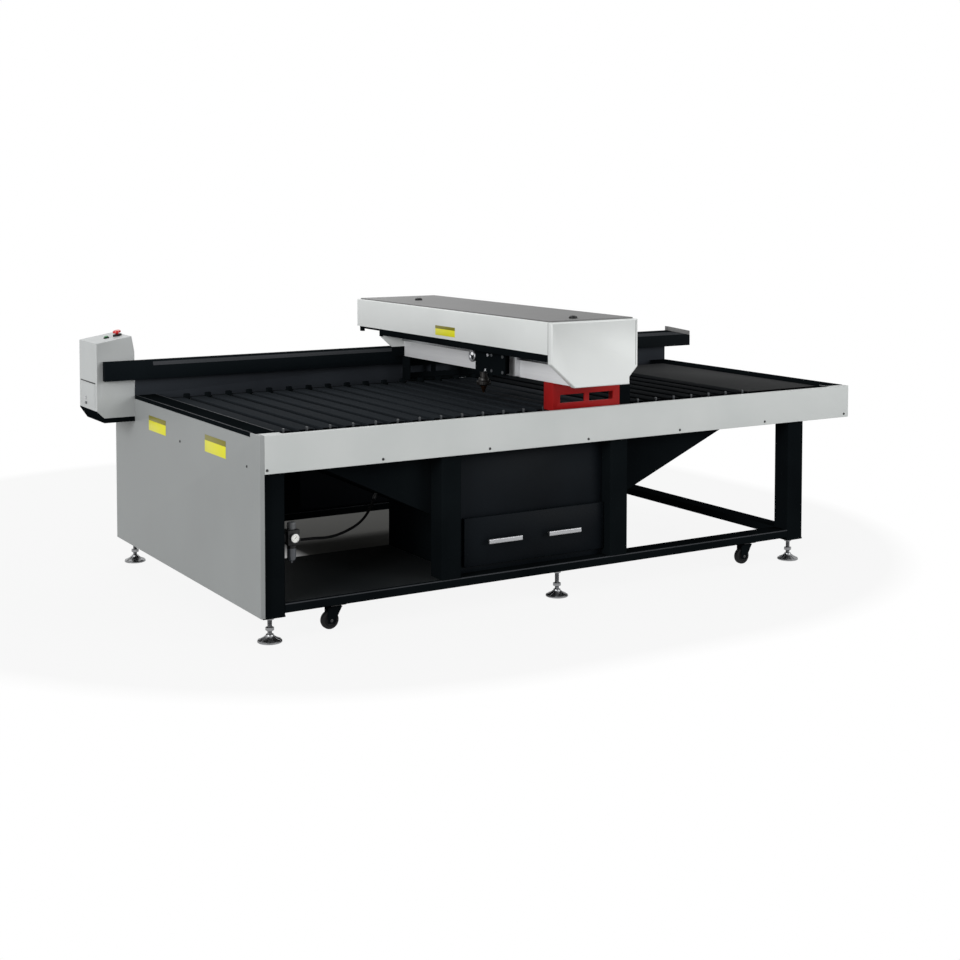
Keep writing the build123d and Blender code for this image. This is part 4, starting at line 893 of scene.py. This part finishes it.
# Lid knobs: low recessed grips
lidKnob = {
    "column": 1535, "rows": (-35, 1398), "foot": 1303,
    "grip": [(20, 0), (20, 4), (18, 9), (14, 11.6), (9, 12), (8, 9)],
}
grip = turned(lidKnob["grip"], facets["collar"], (lidKnob["column"], lidKnob["rows"][0], lidKnob["foot"]))
grips = rowOf(grip, [(0, lidKnob["rows"][1] - lidKnob["rows"][0], 0)])
settle(grips, "lidGrips", "gantry", "blackNylon", ["lid_knobs"])

# Cutting head: motor flange with its bolts, cap screws, round mirror mount, lens barrel and nozzle. The
# plates are two corners, the axis through them, a corner radius and an edge
head = {
    "flange": ((1380.7, 300, 1010), (1388.7, 433, 1121), 0, 20, 1.0),
    "rim": ((1388.7, 308, 1016), (1396, 380.5, 1116), 0, 10, 1.0),
    "flangeFace": 1380.7, "bolts": ((318, 1028), (415, 1028), (318, 1103), (415, 1103)),
    "bolt": [(7.5, 0), (7.5, 4), (6.6, 5), (3.9, 5), (3.5, 2.5)],
    "face": 1388.7, "screws": ((459, 1099), (481, 1024)),
    "capScrew": [(9, 0), (9, 6), (8, 7.2), (4.8, 7.2), (4.3, 3.6)],
    "mirrorFoot": (1446, 606, 1082),
    "mount": [(24, 0), (25.5, 1.5), (25.5, 50), (29, 52), (29, 60), (27.5, 62), (21, 62), (20, 59)],
    "mirror": [(19.6, 58.8), (19.6, 59.6), (18.8, 60)],
    "lensPlace": (1422, 555, 0),
    "barrel": [(19, 940), (33, 946), (34, 947.5), (34, 962.5), (32.5, 964), (25, 966), (25, 976),
               (23.5, 978.5), (18.6, 980), (18.6, 1070)],
    "knurls": 24, "knurlReach": 33, "knurlHeight": 0.8,
    "nozzle": [(3, 906), (4.6, 906.4), (5.4, 910), (12, 930), (17, 938), (17, 944)],
}


# bolts on a plate that faces left, at places across and up
def boltsOn(face, places, profile, segments):
    across, up = places[0]
    first = turned(profile, segments, (face, across, up), (-1, 0, 0))
    return rowOf(first, [(0, y - across, z - up) for y, z in places[1:]])


flange = roundedPlate(*head["flange"])
rim = roundedPlate(*head["rim"])
settle(joinAll([flange, rim]), "headMotor", "head", "blackPowderCoat")
bolts = boltsOn(head["flangeFace"], head["bolts"], head["bolt"], facets["stem"])
settle(bolts, "flangeBolts", "head", "wornSteel")
capScrews = boltsOn(head["face"], head["screws"], head["capScrew"], facets["screw"])
settle(capScrews, "headCapScrews", "head", "turnedAluminium")
mount = turned(head["mount"], facets["wide"], head["mirrorFoot"], (-1, 0, 0))
settle(mount, "mirrorMount", "head", "turnedAluminium", ["head_mirror"])
mirror = turned(head["mirror"], facets["wide"], head["mirrorFoot"], (-1, 0, 0))
settle(mirror, "mirrorDisc", "head", "polishedSteel")
barrel = raiseFaces(turnedBlank(head["barrel"], facets["dome"]),
                    lambda face: onGrip(face, head["knurlReach"], head["knurls"]), head["knurlHeight"])
standAt(barrel, head["lensPlace"])
settle(barrel, "lensBarrel", "lens", "anodisedAluminium", ["lens_tube"])
nozzle = turned(head["nozzle"], facets["plunger"], head["lensPlace"])
settle(nozzle, "nozzleTip", "lens", "copperAlloy")
print("stage: gantry head")
